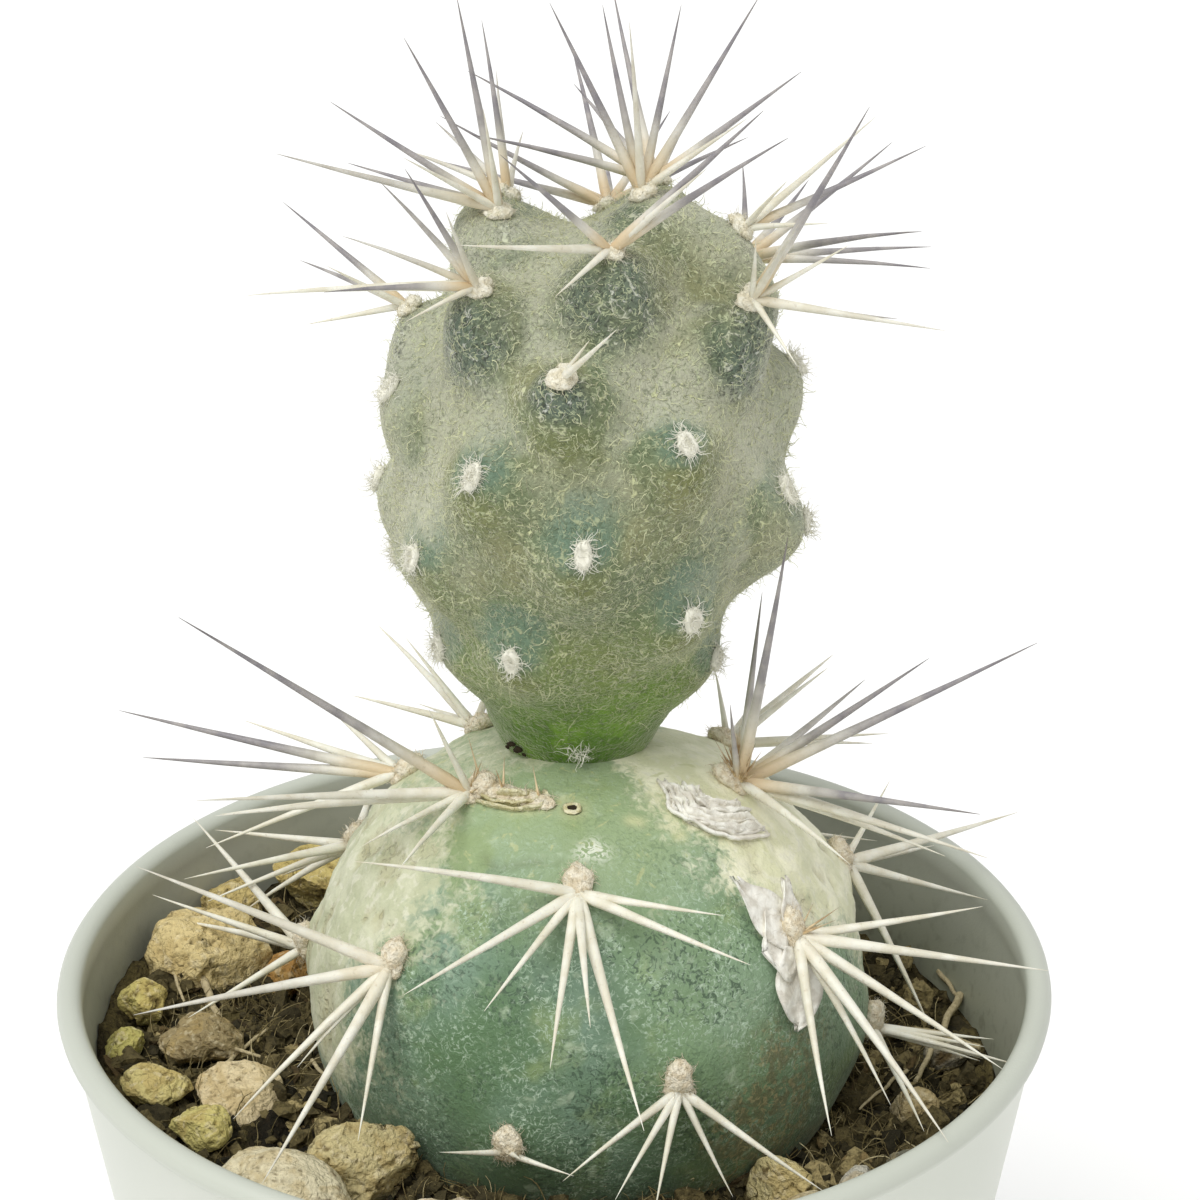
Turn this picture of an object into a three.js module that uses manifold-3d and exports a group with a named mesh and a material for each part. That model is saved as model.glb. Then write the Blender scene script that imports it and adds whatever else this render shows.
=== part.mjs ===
// A potted cactus of two stem segments: a round one, half sunk in the soil of a plastic
// pot, and an egg-shaped one that stands on it. Millimetres, +Z up, origin at the centre
// of the pot's underside. The front of the plant looks along -Y, and +X is to the right.
import * as THREE from 'three';
import { mergeVertices } from 'three/addons/utils/BufferGeometryUtils.js';
import Module from 'manifold-3d';

// ---- Driving dimensions -----------------------------------------------------------

// Pot
const POT_HEIGHT = 70;
const POT_RIM_RADIUS = 42.5;
const POT_TOP_RADIUS = 41.9; // outside of the wall, just under the rim's bead
const POT_BASE_RADIUS = 30.5;
const POT_WALL = 1.0;
const POT_FLOOR = 1.4;
const POT_SIDES = 40;
const DRAIN_HOLES = 6;
const DRAIN_RADIUS = 2.8;
const DRAIN_CIRCLE = 20;

// Soil
const SOIL_LEVEL = 59.5; // at the pot's axis
const SOIL_SLOPE = -0.075; // it lies lower to the right
const SOIL_LUMP = 0.9;
const SOIL_SIDES = 30;
const SOIL_RINGS = [1, 0.85, 0.7, 0]; // of its surface, as shares of its radius
const SOCKET_SLACK = 0.4; // the hole round the plant is coarser than the plant
const WALL_SLACK = 0.15; // and the filling's sides are coarser than the wall's

// Clearance between pieces that rest in or on each other
const GAP = 0.3;

// Lower segment: its outline from the underside to the crown, as radius and height
const LOWER_FOOT = 44.8;
const LOWER_MIDDLE = 67.6;
const LOWER_CROWN = 90.0;
const LOWER_RADIUS = 23.7;
const LOWER_PULL = { foot: 13.2, below: 12.6, above: 11.9, crown: 14 }; // curve handles
const LOWER_AXIS = { x: 2.7, y: 0, lean: 0 };

// Upper segment. It stands a little behind the lower one's crown and is sunk into it.
const UPPER_FOOT = 88.0;
const UPPER_CROWN = 133.9;
const UPPER_MIDDLE = 112.4;
const UPPER_RADIUS = 15.3;
const UPPER_FOOT_RADIUS = 4.0;
const UPPER_NECK = { radius: 7.6, rise: 3.8 }; // where the foot's fillet ends
const UPPER_PULL = { neckRadius: 9.1, neckRise: 10.1, below: 5.9, above: 12.4, crown: 7.2 };
const UPPER_AXIS = { x: 1.8, y: 4.5, lean: 0.045 }; // sideways for each mm of height
const OUTLINE_POINTS = 400;
const SLOPE_STEP = { turn: 0.02, along: 0.004 }; // either side of where a slope is taken
const SKIN_DETAIL = 10; // of the ball that the upper segment is made from

// Tubercles: their height low down and near the crown, how far they reach sideways, above
// and below their middle, and how far the middle lies below the areole.
const LOWER_TUBERCLE = {
  height: [0.7, 0.7], side: 4.5, above: 4.5, below: 4.5, drop: [0, 0],
};
const UPPER_TUBERCLE = {
  height: [1.6, 3.9], side: 4.0, above: 3.3, below: 4.8, drop: [1.6, 1.5],
};
const TUBERCLE_RAMP = [0.5, 0.82]; // along the outline, from the low to the high ones
const TUBERCLE_ROUNDNESS = 2.4; // a higher power gives a blunter knob

// Areoles sit on a spiral: each is one golden angle further round than the last.
// "along" is the way up the outline, from 0 at the foot to 1 at the crown.
const GOLDEN_ANGLE = 137.5;
const FIRST_AZIMUTH = -2; // of areole 0, in degrees from the front towards the right
const LOWER_SPIRAL = { first: -3, last: 14, lastSpined: 13, along: 0.768, step: -0.0245 };
const UPPER_SPIRAL = { first: -12, last: 24, firstSpined: 13, along: 0.535, step: 0.0168 };

// Where growth has moved an areole off the spiral: [degrees, along]
const LOWER_SHIFTS = {
  '-3': [-6, 0.01], '-2': [0, 0.005], 2: [-22, 0.04], 3: [3, -0.03], 5: [-11, 0],
  8: [0, -0.02], 10: [-30, 0], 11: [12, -0.03], 13: [0, 0.03],
};
const UPPER_SHIFTS = {
  '-11': [11, -0.03], '-10': [1, -0.07], '-8': [-2, -0.045], '-6': [9, -0.02],
  '-5': [3, -0.03], '-3': [-1, 0], '-2': [-7, 0], 0: [1, 0], 2: [-3, -0.042],
  3: [16, -0.03], 5: [2, 0], 6: [22, 0], 8: [8, -0.005], 10: [-9, -0.035],
  11: [22, -0.045], 13: [5, -0.01], 15: [0, -0.05], 16: [21, -0.01], 18: [-3, -0.015],
  19: [-7, 0], 21: [1, 0], 23: [-14, -0.025], 24: [19, 0.02],
};

// Wool cushions
const CUSHION = { lower: 1.6, upper: 1.4, height: 1.1, sides: 7 };
const TUFT_RADIUS = 1.1;

// Spines: each is given by its reach from the areole, in mm to the right, back and up.
// The sprays that the front view shows are set one by one.
const SPINE_SIDES = 3;
const SPINE_RADIUS = { base: 0.1, perLength: 0.019, least: 0.28, most: 0.55 };
const LOWER_SPINES = {
  '-3': [[-22, -7, 19], [-21, -9, 4], [-20, -6, 1], [-20, -2, -1], [-8, -9, 0],
    [-5, -13, 0], [-3, -3, 9]],
  '-2': [[3, -9, 26], [-1, -4, 9], [2, 9, 13], [25, 8, 9], [16, 9, 7], [11, 13, 3],
    [18, -15, 5], [19, -13, 0], [16, -9, -2], [8, -14, 0]],
  '-1': [[-11, 8, -1], [-4, 9, -3], [-6, 5, 6], [-9, 14, 3], [2, 13, 0]],
  0: [[-17, -4, 5], [-13, -12, -2], [11, -7, 2], [13, -11, 0], [-7, -11, -4],
    [-2, -16, -6], [1, -15, -3], [5, -20, -9]],
  1: [[14, 4, -1], [13, 8, -4], [9, 9, 3], [-1, 7, 4], [4, 16, -2], [10, 16, 1]],
  2: [[-24, 4, 4], [-22, 3, 0], [-14, 10, 0], [-7, 11, 1], [-16, -4, -5]],
  3: [[15, 3, 1], [20, -2, -2], [16, -7, -8], [11, -16, -9], [7, -9, -10], [2, -15, -9]],
  5: [[-20, 2, 8], [-20, -4, -2], [-7, -5, -6], [-12, -8, -9], [-9, -17, -9],
    [-2, -11, -9]],
  6: [[16, 11, -1], [13, 6, -7], [4, 5, 5], [7, 0, -15], [7, -5, -13], [9, 14, -6]],
  8: [[-9, -8, -3], [-5, -9, -4], [-2, -9, -5], [4, -4, -7], [11, -5, -6]],
  10: [[-11, 16, 4], [-12, 10, -3], [-9, -8, -2], [-13, 2, 4]],
  13: [[-5, -3, 2], [1, -4, 2], [5, -3, 0]],
};
const UPPER_SPINES = {
  13: [[2, -3, 4], [4, -6, 6]],
  15: [[-10, 5, 7], [-8, 1, -2], [-9, 8, 1], [-6, -2, 4]],
  16: [[8, -6, 17], [0, -4, 6], [7, -2, 5], [3, -6, 8], [14, -7, 0], [3, -6, -3],
    [11, 1, -2]],
  18: [[-17, -5, 1], [-11, -7, 2], [-10, 0, 4], [-7, -2, 9], [-5, -5, 11], [-2, -6, 8],
    [-5, -5, -1]],
  19: [[14, 2, 6], [10, 0, 9], [3, -4, 5], [6, -5, 2], [11, 6, 3]],
  20: [[-1, 7, 8], [-6, 9, 3], [-9, 5, 2], [-2, 4, 13], [1, 10, 2]],
  21: [[-11, -8, 3], [-8, -8, 10], [11, -7, 13], [7, -5, 8], [13, -4, 10], [-4, -8, -1]],
  23: [[-17, -2, 5], [-13, 2, 8], [-12, 5, 2], [-7, -3, 5], [-7, -1, 14], [-3, 0, 17],
    [-1, -3, 9]],
  24: [[-7, 0, 15], [-3, 3, 14], [-1, -2, 14], [3, 3, 14], [9, 2, 15], [8, -1, 6]],
};
// The rest are drawn from a seeded fan that spreads downwards and outwards
const FAN = { radials: 6, centrals: 1, from: 100, to: 260, jitter: 16, seed: 41 };
const SEED_STEP = 97; // from one areole to the next
const FAN_RADIAL = { lift: [18, 36], length: [12, 18] };
const FAN_CENTRAL = { lift: [55, 72], length: [15, 20] };
// A spine that would meet soil or wall is lifted and shortened step by step
const LIFT_STEP = 6; // degrees
const LIFT_LIMIT = 80;
const SHORTENING = 0.95;
const FREE_RADIUS = 36; // a tip below the rim stays within this
const SPINE_ROOT = { above: 0.45, ahead: 0.4 }; // inside the cushion

// Papery scale remains and corky rims, as [turn in degrees, length, width]
const SCALES = {
  3: [[-28, 7.5, 3.0], [12, 5.0, 2.6], [188, 8.0, 4.4]],
  '-2': [[200, 5.5, 4.0], [250, 5.0, 4.0]],
};
const SCALE_THICKNESS = 0.6;
const SCALE_LIFT = 4; // degrees off the surface

// Stones: [name, x, y, width, depth, height, turn in degrees, colour]
const OCHRE = '#c9b47e';
const TAN = '#cbb489';
const CREAM = '#ddd2b4';
const PINKISH = '#d3c0a8';
const YELLOW = '#c8bd6c';
const GREY = '#8b8878';
const STONES = [
  ['stone_ochre_back', -23.2, 26.6, 8.3, 7.4, 6.8, 20, OCHRE],
  ['stone_behind', -16.8, 32.2, 5.2, 4.6, 5.0, 70, TAN],
  ['stone_small_back', -29.9, 20.9, 5.3, 5.4, 5.2, 0, TAN],
  ['stone_big_tan', -30.6, 12.6, 9.0, 8.0, 6.6, 35, TAN],
  ['stone_orange', -24.2, 9.0, 4.6, 4.6, 4.4, 10, '#b98f5c'],
  ['stone_yellow', -36.0, 3.2, 4.6, 4.2, 4.2, 60, YELLOW],
  ['stone_yellow_low', -37.0, -2.9, 3.0, 4.2, 3.6, 15, YELLOW],
  ['stone_grey_brown', -31.0, -2.6, 7.2, 5.2, 4.2, 0, '#a59474'],
  ['stone_cracked', -33.4, -10.2, 5.6, 5.0, 4.0, 25, OCHRE],
  ['stone_flat', -26.6, -9.4, 6.4, 5.6, 3.6, 80, PINKISH],
  ['stone_yellow_front', -28.8, -16.9, 5.0, 4.6, 4.0, 40, YELLOW],
  ['stone_cream_smooth', -21.6, -27.0, 9.4, 7.2, 6.0, -30, CREAM],
  ['stone_porous', -15.0, -20.6, 8.4, 5.4, 6.4, 40, OCHRE],
  ['stone_pinkish_rough', -8.3, -29.0, 10.4, 7.6, 6.6, 5, PINKISH],
  ['stone_pinkish_front', 7.4, -30.2, 8.2, 6.8, 5.0, -10, PINKISH],
  ['stone_ochre_right', 19.2, -19.4, 6.8, 5.2, 5.4, 35, OCHRE],
  ['stone_tan_smooth', 22.0, -25.6, 8.2, 6.6, 5.6, -25, TAN],
  ['stone_grey_white', 25.6, -17.8, 3.8, 4.0, 3.8, 0, '#c9c6b8'],
  ['stone_dark', 29.6, -15.4, 3.6, 3.4, 3.6, 50, GREY],
  ['stone_right', 30.6, -4.8, 4.2, 3.6, 3.4, 0, TAN],
  ['stone_right_edge', 34.6, 3.8, 3.8, 4.4, 3.2, 20, GREY],
  ['stone_back_right', 22.0, 24.0, 8.0, 6.6, 5.8, -35, CREAM],
  ['stone_back', 3.4, 32.4, 9.0, 6.8, 6.2, 5, OCHRE],
];
const STONE_SUNK = 0.18; // of its height, how far its middle lies above the soil
const STONE_ROUGHNESS = 0.13;
const STONE_SEED = 7; // of the first stone
const STONE_SLACK = 0.05; // on the gap round a stone, for the soil's coarser surface

const wasm = await Module();
wasm.setup();

const cactus = new THREE.Group();

// ---- Solids -----------------------------------------------------------------------

// A geometry with its shared vertices merged and its empty triangles dropped.
function welded(geometry) {
  const bare = geometry.index ? geometry.toNonIndexed() : geometry.clone();
  bare.deleteAttribute('normal');
  bare.deleteAttribute('uv');
  const merged = mergeVertices(bare, 1e-4);
  const kept = [];
  const index = merged.index.array;
  for (let i = 0; i < index.length; i += 3) {
    const [a, b, c] = index.slice(i, i + 3);
    if (a !== b && b !== c && c !== a) kept.push(a, b, c);
  }
  merged.setIndex(kept);
  return merged;
}

function toSolid(geometry) {
  const closed = welded(geometry);
  return new wasm.Manifold(new wasm.Mesh({
    numProp: 3,
    vertProperties: new Float32Array(closed.attributes.position.array),
    triVerts: new Uint32Array(closed.index.array),
  }));
}

function toGeometry(solid) {
  const mesh = solid.getMesh();
  const geometry = new THREE.BufferGeometry();
  geometry.setAttribute('position', new THREE.BufferAttribute(mesh.vertProperties, 3));
  geometry.setIndex(new THREE.BufferAttribute(mesh.triVerts, 1));
  return geometry;
}

function addPiece(name, geometry, color, roughness) {
  const material = new THREE.MeshStandardMaterial({ color, roughness, metalness: 0 });
  const mesh = new THREE.Mesh(geometry, material);
  mesh.name = name;
  mesh.geometry.computeVertexNormals();
  cactus.add(mesh);
}

// A repeatable draw between 0 and 1
function seededDraw(seed) {
  let state = seed >>> 0;
  return () => {
    state = (Math.imul(state, 1664525) + 1013904223) >>> 0;
    return state / 4294967296;
  };
}

// A turned profile of [radius, height] pairs, standing upright
function turned(profile, sides) {
  const points = profile.map(([radius, height]) => new THREE.Vector2(radius, height));
  return new THREE.LatheGeometry(points, sides).rotateX(Math.PI / 2);
}

// ---- Pot --------------------------------------------------------------------------

function potOuterRadius(height) {
  const share = height / POT_HEIGHT;
  return POT_BASE_RADIUS + (POT_TOP_RADIUS - POT_BASE_RADIUS) * share;
}

function potInnerRadius(height) {
  return potOuterRadius(height) - POT_WALL;
}

// A thin tapering wall with a flat floor, rounded into a bead at the rim
function pot() {
  const shell = toSolid(turned([
    [0, 0],
    [POT_BASE_RADIUS - 0.6, 0],
    [potOuterRadius(0.6), 0.6],
    [potOuterRadius(POT_HEIGHT - 2.5), POT_HEIGHT - 2.5],
    [POT_RIM_RADIUS - 0.2, POT_HEIGHT - 2.2],
    [POT_RIM_RADIUS, POT_HEIGHT - 1.4],
    [POT_RIM_RADIUS - 0.1, POT_HEIGHT - 0.6],
    [POT_RIM_RADIUS - 0.5, POT_HEIGHT - 0.1],
    [POT_RIM_RADIUS - 0.9, POT_HEIGHT],
    [POT_RIM_RADIUS - 1.4, POT_HEIGHT - 0.3],
    [potInnerRadius(POT_HEIGHT - 1.2), POT_HEIGHT - 1.2],
    [potInnerRadius(POT_FLOOR + 1), POT_FLOOR + 1],
    [potInnerRadius(0) - 1, POT_FLOOR],
    [0, POT_FLOOR],
  ], POT_SIDES));
  let drained = shell;
  for (let i = 0; i < DRAIN_HOLES; i++) {
    const angle = (i / DRAIN_HOLES) * 2 * Math.PI;
    const hole = new THREE.CylinderGeometry(DRAIN_RADIUS, DRAIN_RADIUS, POT_FLOOR * 3, 10);
    hole.rotateX(Math.PI / 2);
    hole.translate(DRAIN_CIRCLE * Math.cos(angle), DRAIN_CIRCLE * Math.sin(angle), 0);
    drained = drained.subtract(toSolid(hole));
  }
  return drained;
}

// ---- Stem segments ----------------------------------------------------------------

// The directions across and up the surface whose outward direction is given
function surfaceAxes(out) {
  const across = new THREE.Vector3(0, 0, 1).cross(out).normalize();
  return { across, upwards: out.clone().cross(across) };
}

// A segment is an outline turned round a leaning axis, with a tubercle raised under
// each areole.
class Segment {
  constructor(outline, axis, tubercle) {
    this.points = outline.getSpacedPoints(OUTLINE_POINTS);
    this.length = outline.getLength();
    this.axis = axis;
    this.tubercle = tubercle;
    this.areoles = [];
  }

  outlineAt(along) {
    const place = THREE.MathUtils.clamp(along, 0, 1) * (this.points.length - 1);
    const low = Math.min(Math.floor(place), this.points.length - 2);
    return this.points[low].clone().lerp(this.points[low + 1], place - low);
  }

  // The point and the outward direction on the plain outline, before the tubercles
  bare(azimuth, along) {
    const here = this.outlineAt(along);
    const step = SLOPE_STEP.along;
    const way = this.outlineAt(along + step).sub(this.outlineAt(along - step)).normalize();
    const side = Math.sin(azimuth);
    const front = -Math.cos(azimuth);
    const { x, y, lean } = this.axis;
    const middle = x + lean * (here.y - this.points[0].y);
    return {
      point: new THREE.Vector3(middle + here.x * side, y + here.x * front, here.y),
      out: new THREE.Vector3(way.y * side, way.y * front, -way.x),
    };
  }

  // A tubercle's size at this height, from its smallest and largest
  graded([low, high], along) {
    return low + (high - low) * THREE.MathUtils.smoothstep(along, ...TUBERCLE_RAMP);
  }

  raised(azimuth, along, grow = 0) {
    const { point, out } = this.bare(azimuth, along);
    const { side, above, below } = this.tubercle;
    const height = this.graded(this.tubercle.height, along);
    let rise = grow;
    for (const areole of this.areoles) {
      const offset = point.clone().sub(areole.root);
      const up = offset.dot(areole.upwards);
      const aside = Math.sqrt(Math.max(offset.lengthSq() - up * up, 0));
      const reach = Math.hypot(aside / side, up / (up > 0 ? above : below));
      rise += height * Math.exp(-(reach ** TUBERCLE_ROUNDNESS));
    }
    return { point: point.clone().addScaledVector(out, rise), out };
  }

  addAreoles(spiral, shifts) {
    for (let index = spiral.first; index <= spiral.last; index++) {
      const [degrees, slide] = shifts[index] ?? [0, 0];
      const turn = FIRST_AZIMUTH + GOLDEN_ANGLE * index + degrees;
      const azimuth = THREE.MathUtils.degToRad(turn);
      const along = spiral.along + spiral.step * index + slide;
      const drop = this.graded(this.tubercle.drop, along) / this.length;
      const { point, out } = this.bare(azimuth, along - drop);
      const { upwards } = surfaceAxes(out);
      this.areoles.push({ index, azimuth, along, root: point, upwards });
    }
    for (const areole of this.areoles) {
      areole.point = this.raised(areole.azimuth, areole.along).point;
      areole.out = this.slopeAt(areole);
    }
  }

  // The outward direction of the raised surface at an areole
  slopeAt({ azimuth, along }) {
    const between = (turn, rise) => this.raised(azimuth + turn, along + rise).point
      .sub(this.raised(azimuth - turn, along - rise).point);
    return between(SLOPE_STEP.turn, 0).cross(between(0, SLOPE_STEP.along)).normalize();
  }

  // An even ball of triangles, carried onto the segment's surface
  solid(detail, grow = 0) {
    const ball = welded(new THREE.IcosahedronGeometry(1, detail));
    const place = ball.attributes.position;
    for (let i = 0; i < place.count; i++) {
      const azimuth = Math.atan2(place.getX(i), -place.getY(i));
      const along = Math.acos(THREE.MathUtils.clamp(-place.getZ(i), -1, 1)) / Math.PI;
      const { point } = this.raised(azimuth, along, grow);
      place.setXYZ(i, point.x, point.y, point.z);
    }
    return toSolid(ball);
  }
}

function lowerSegment() {
  const outline = new THREE.Path();
  outline.moveTo(0, LOWER_FOOT);
  const { foot, below, above, crown } = LOWER_PULL;
  outline.bezierCurveTo(
    foot, LOWER_FOOT, LOWER_RADIUS, LOWER_MIDDLE - below, LOWER_RADIUS, LOWER_MIDDLE);
  outline.bezierCurveTo(
    LOWER_RADIUS, LOWER_MIDDLE + above, crown, LOWER_CROWN, 0, LOWER_CROWN);
  const segment = new Segment(outline, LOWER_AXIS, LOWER_TUBERCLE);
  segment.addAreoles(LOWER_SPIRAL, LOWER_SHIFTS);
  return segment;
}

function upperSegment() {
  const outline = new THREE.Path();
  outline.moveTo(0, UPPER_FOOT);
  outline.lineTo(UPPER_FOOT_RADIUS, UPPER_FOOT);
  const { neckRadius, neckRise, below, above, crown } = UPPER_PULL;
  outline.bezierCurveTo(
    UPPER_NECK.radius - 0.6, UPPER_FOOT + 0.7, UPPER_NECK.radius - 1, UPPER_FOOT + 1.9,
    UPPER_NECK.radius, UPPER_FOOT + UPPER_NECK.rise);
  outline.bezierCurveTo(
    neckRadius, UPPER_FOOT + neckRise, UPPER_RADIUS, UPPER_MIDDLE - below,
    UPPER_RADIUS, UPPER_MIDDLE);
  outline.bezierCurveTo(
    UPPER_RADIUS, UPPER_MIDDLE + above, crown, UPPER_CROWN, 0, UPPER_CROWN);
  const segment = new Segment(outline, UPPER_AXIS, UPPER_TUBERCLE);
  segment.addAreoles(UPPER_SPIRAL, UPPER_SHIFTS);
  return segment;
}

// A tuft of wool on an areole that bears no spines
function tuft(areole) {
  const wool = new THREE.OctahedronGeometry(TUFT_RADIUS);
  wool.translate(areole.point.x, areole.point.y, areole.point.z);
  return toSolid(wool);
}

// ---- Spine sprays -----------------------------------------------------------------

const UP = new THREE.Vector3(0, 1, 0);

function aimed(geometry, direction, origin) {
  const turn = new THREE.Quaternion().setFromUnitVectors(UP, direction);
  return geometry.applyQuaternion(turn).translate(origin.x, origin.y, origin.z);
}

// The direction that lies "lift" above the surface and points to "clock" on it, counted
// clockwise from straight up as seen from outside
function fanned(out, clock, lift) {
  const { across, upwards } = surfaceAxes(out);
  const angle = THREE.MathUtils.degToRad(clock);
  const rise = THREE.MathUtils.degToRad(lift);
  return upwards.multiplyScalar(Math.cos(angle))
    .addScaledVector(across, Math.sin(angle))
    .multiplyScalar(Math.cos(rise))
    .addScaledVector(out, Math.sin(rise));
}

// Whether a spine's tip stays above the soil, and inside the wall or over the rim
function tipIsFree(tip) {
  const reach = Math.hypot(tip.x, tip.y);
  const overRim = tip.z > POT_HEIGHT + 2;
  return tip.z > soilHeight(tip.x, tip.y) + 3 && (overRim || reach < FREE_RADIUS);
}

// Reaches for a spray that isn't set by hand
function drawnFan(areole) {
  const draw = seededDraw(FAN.seed + areole.index * SEED_STEP);
  const between = ([low, high]) => low + (high - low) * draw();
  const reaches = [];
  const count = FAN.radials + FAN.centrals;
  for (let i = 0; i < count; i++) {
    const central = i >= FAN.radials;
    const kind = central ? FAN_CENTRAL : FAN_RADIAL;
    const share = central ? 0.5 : i / (FAN.radials - 1);
    const clock = FAN.from + (FAN.to - FAN.from) * share + FAN.jitter * (draw() - 0.5);
    let length = between(kind.length);
    let lift = between(kind.lift);
    let reach = fanned(areole.out, clock, lift).multiplyScalar(length);
    while (!tipIsFree(areole.point.clone().add(reach)) && lift < LIFT_LIMIT) {
      lift += LIFT_STEP;
      length *= SHORTENING;
      reach = fanned(areole.out, clock, lift).multiplyScalar(length);
    }
    reaches.push(reach);
  }
  return reaches;
}

// One spine, from its root inside the cushion to its tip
function spine(areole, reach) {
  const length = reach.length();
  const direction = reach.clone().normalize();
  const wide = THREE.MathUtils.clamp(
    SPINE_RADIUS.base + SPINE_RADIUS.perLength * length,
    SPINE_RADIUS.least, SPINE_RADIUS.most);
  const cone = new THREE.ConeGeometry(wide, length, SPINE_SIDES, 1);
  cone.translate(0, length / 2, 0);
  const along = direction.clone().addScaledVector(areole.out, -direction.dot(areole.out));
  const root = areole.point.clone()
    .addScaledVector(areole.out, GAP + SPINE_ROOT.above)
    .addScaledVector(along, SPINE_ROOT.ahead);
  return toSolid(aimed(cone, direction, root));
}

// The wool cushion that carries a spray, on a flat base just clear of its tubercle
function cushion(areole, radius) {
  const { height, sides } = CUSHION;
  const dome = new THREE.LatheGeometry([
    new THREE.Vector2(0, 0),
    new THREE.Vector2(radius * 0.8, 0),
    new THREE.Vector2(radius, height * 0.4),
    new THREE.Vector2(radius * 0.6, height * 0.9),
    new THREE.Vector2(0, height),
  ], sides);
  const seat = areole.point.clone().addScaledVector(areole.out, GAP);
  return toSolid(aimed(dome, areole.out, seat));
}

// A thin dry scale that stands off the cushion, pointed at its tip
function scale(areole, [turn, length, width]) {
  const leaf = new THREE.Shape();
  leaf.moveTo(-width * 0.25, 0);
  leaf.lineTo(width * 0.25, 0);
  leaf.lineTo(width * 0.5, length * 0.4);
  leaf.lineTo(width * 0.3, length * 0.75);
  leaf.lineTo(0, length);
  leaf.lineTo(-width * 0.42, length * 0.65);
  leaf.lineTo(-width * 0.5, length * 0.3);
  const flake = new THREE.ExtrudeGeometry(leaf, {
    depth: SCALE_THICKNESS, bevelEnabled: false,
  });
  const upwards = fanned(areole.out, turn, SCALE_LIFT);
  const across = upwards.clone().cross(areole.out).normalize();
  const out = across.clone().cross(upwards);
  const seat = areole.point.clone().addScaledVector(areole.out, GAP + 0.15);
  const place = new THREE.Matrix4().makeBasis(across, upwards, out).setPosition(seat);
  return toSolid(flake.applyMatrix4(place));
}

function spray(areole, radius, reaches, scales) {
  let whole = cushion(areole, radius);
  for (const reach of reaches) whole = whole.add(spine(areole, reach));
  for (const size of scales) whole = whole.add(scale(areole, size));
  return whole;
}

function addSprays(prefix, areoles, radius, spines, scales, color) {
  areoles.forEach((areole, order) => {
    const set = spines[areole.index];
    const reaches = set ? set.map((reach) => new THREE.Vector3(...reach)) : drawnFan(areole);
    const whole = spray(areole, radius, reaches, scales[areole.index] ?? []);
    const number = String(order + 1).padStart(2, '0');
    addPiece(`${prefix}_${number}`, toGeometry(whole), color, 0.6);
  });
}

// ---- Soil and stones --------------------------------------------------------------

function soilHeight(x, y) {
  const lumps = Math.sin(x * 0.42 + 1) * Math.cos(y * 0.37) + 0.5 * Math.sin(x * 0.9 - y * 0.8);
  return SOIL_LEVEL + SOIL_SLOPE * x + SOIL_LUMP * 0.6 * lumps;
}

// The filling from the pot's floor up to its uneven surface
function soil() {
  const floor = POT_FLOOR + GAP;
  const edge = (height) => potInnerRadius(height) - GAP - WALL_SLACK;
  const chamfer = 1.6;
  const profile = [
    [0, floor],
    [potInnerRadius(0) - chamfer, floor],
    [edge(floor + chamfer), floor + chamfer],
  ];
  for (const ring of SOIL_RINGS) profile.push([edge(SOIL_LEVEL) * ring, SOIL_LEVEL]);
  const body = welded(turned(profile, SOIL_SIDES));
  const place = body.attributes.position;
  for (let i = 0; i < place.count; i++) {
    if (place.getZ(i) < SOIL_LEVEL - 0.01) continue;
    const x = place.getX(i);
    const y = place.getY(i);
    const height = soilHeight(x, y);
    const shrink = edge(height) / edge(SOIL_LEVEL);
    place.setXYZ(i, x * shrink, y * shrink, height);
  }
  return toSolid(body);
}

// A rough lump: a ball of triangles squashed to its size, each corner moved in or out
function stone([, x, y, width, depth, height, turn], seed, grow = 0) {
  const draw = seededDraw(seed);
  const lump = welded(new THREE.IcosahedronGeometry(1, 1));
  const place = lump.attributes.position;
  for (let i = 0; i < place.count; i++) {
    const rough = 1 - STONE_ROUGHNESS * draw();
    const corner = new THREE.Vector3().fromBufferAttribute(place, i);
    const size = new THREE.Vector3(width / 2, depth / 2, height / 2).multiplyScalar(rough);
    corner.multiply(size.addScalar(grow));
    place.setXYZ(i, corner.x, corner.y, corner.z);
  }
  lump.rotateZ(THREE.MathUtils.degToRad(turn));
  lump.translate(x, y, soilHeight(x, y) + height * STONE_SUNK);
  return toSolid(lump);
}

// ---- Assembly ---------------------------------------------------------------------

const lower = lowerSegment();
const upper = upperSegment();

addPiece('pot', toGeometry(pot()), '#c8cbc6', 0.5);

let filling = soil().subtract(lower.solid(5, GAP + SOCKET_SLACK));
STONES.forEach((size, order) => {
  filling = filling.subtract(stone(size, STONE_SEED + order, GAP + STONE_SLACK));
  addPiece(size[0], toGeometry(stone(size, STONE_SEED + order)), size[7], 0.9);
});
addPiece('soil', toGeometry(filling), '#3c3226', 1);

let lowerBody = lower.solid(9).subtract(upper.solid(SKIN_DETAIL, GAP));
const lowerSpined = lower.areoles.filter(({ index }) => index <= LOWER_SPIRAL.lastSpined);
for (const areole of lower.areoles) {
  if (!lowerSpined.includes(areole)) lowerBody = lowerBody.add(tuft(areole));
}
addPiece('lower_segment', toGeometry(lowerBody), '#7f9d80', 0.7);

let upperBody = upper.solid(SKIN_DETAIL);
const upperSpined = upper.areoles.filter(({ index }) => index >= UPPER_SPIRAL.firstSpined);
for (const areole of upper.areoles) {
  if (!upperSpined.includes(areole)) upperBody = upperBody.add(tuft(areole));
}
addPiece('upper_segment', toGeometry(upperBody), '#8f9e7c', 0.75);

addSprays('lower_spray', lowerSpined, CUSHION.lower, LOWER_SPINES, SCALES, '#ded5bd');
addSprays('upper_spray', upperSpined, CUSHION.upper, UPPER_SPINES, {}, '#d8d0b8');

export default cactus;
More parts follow.
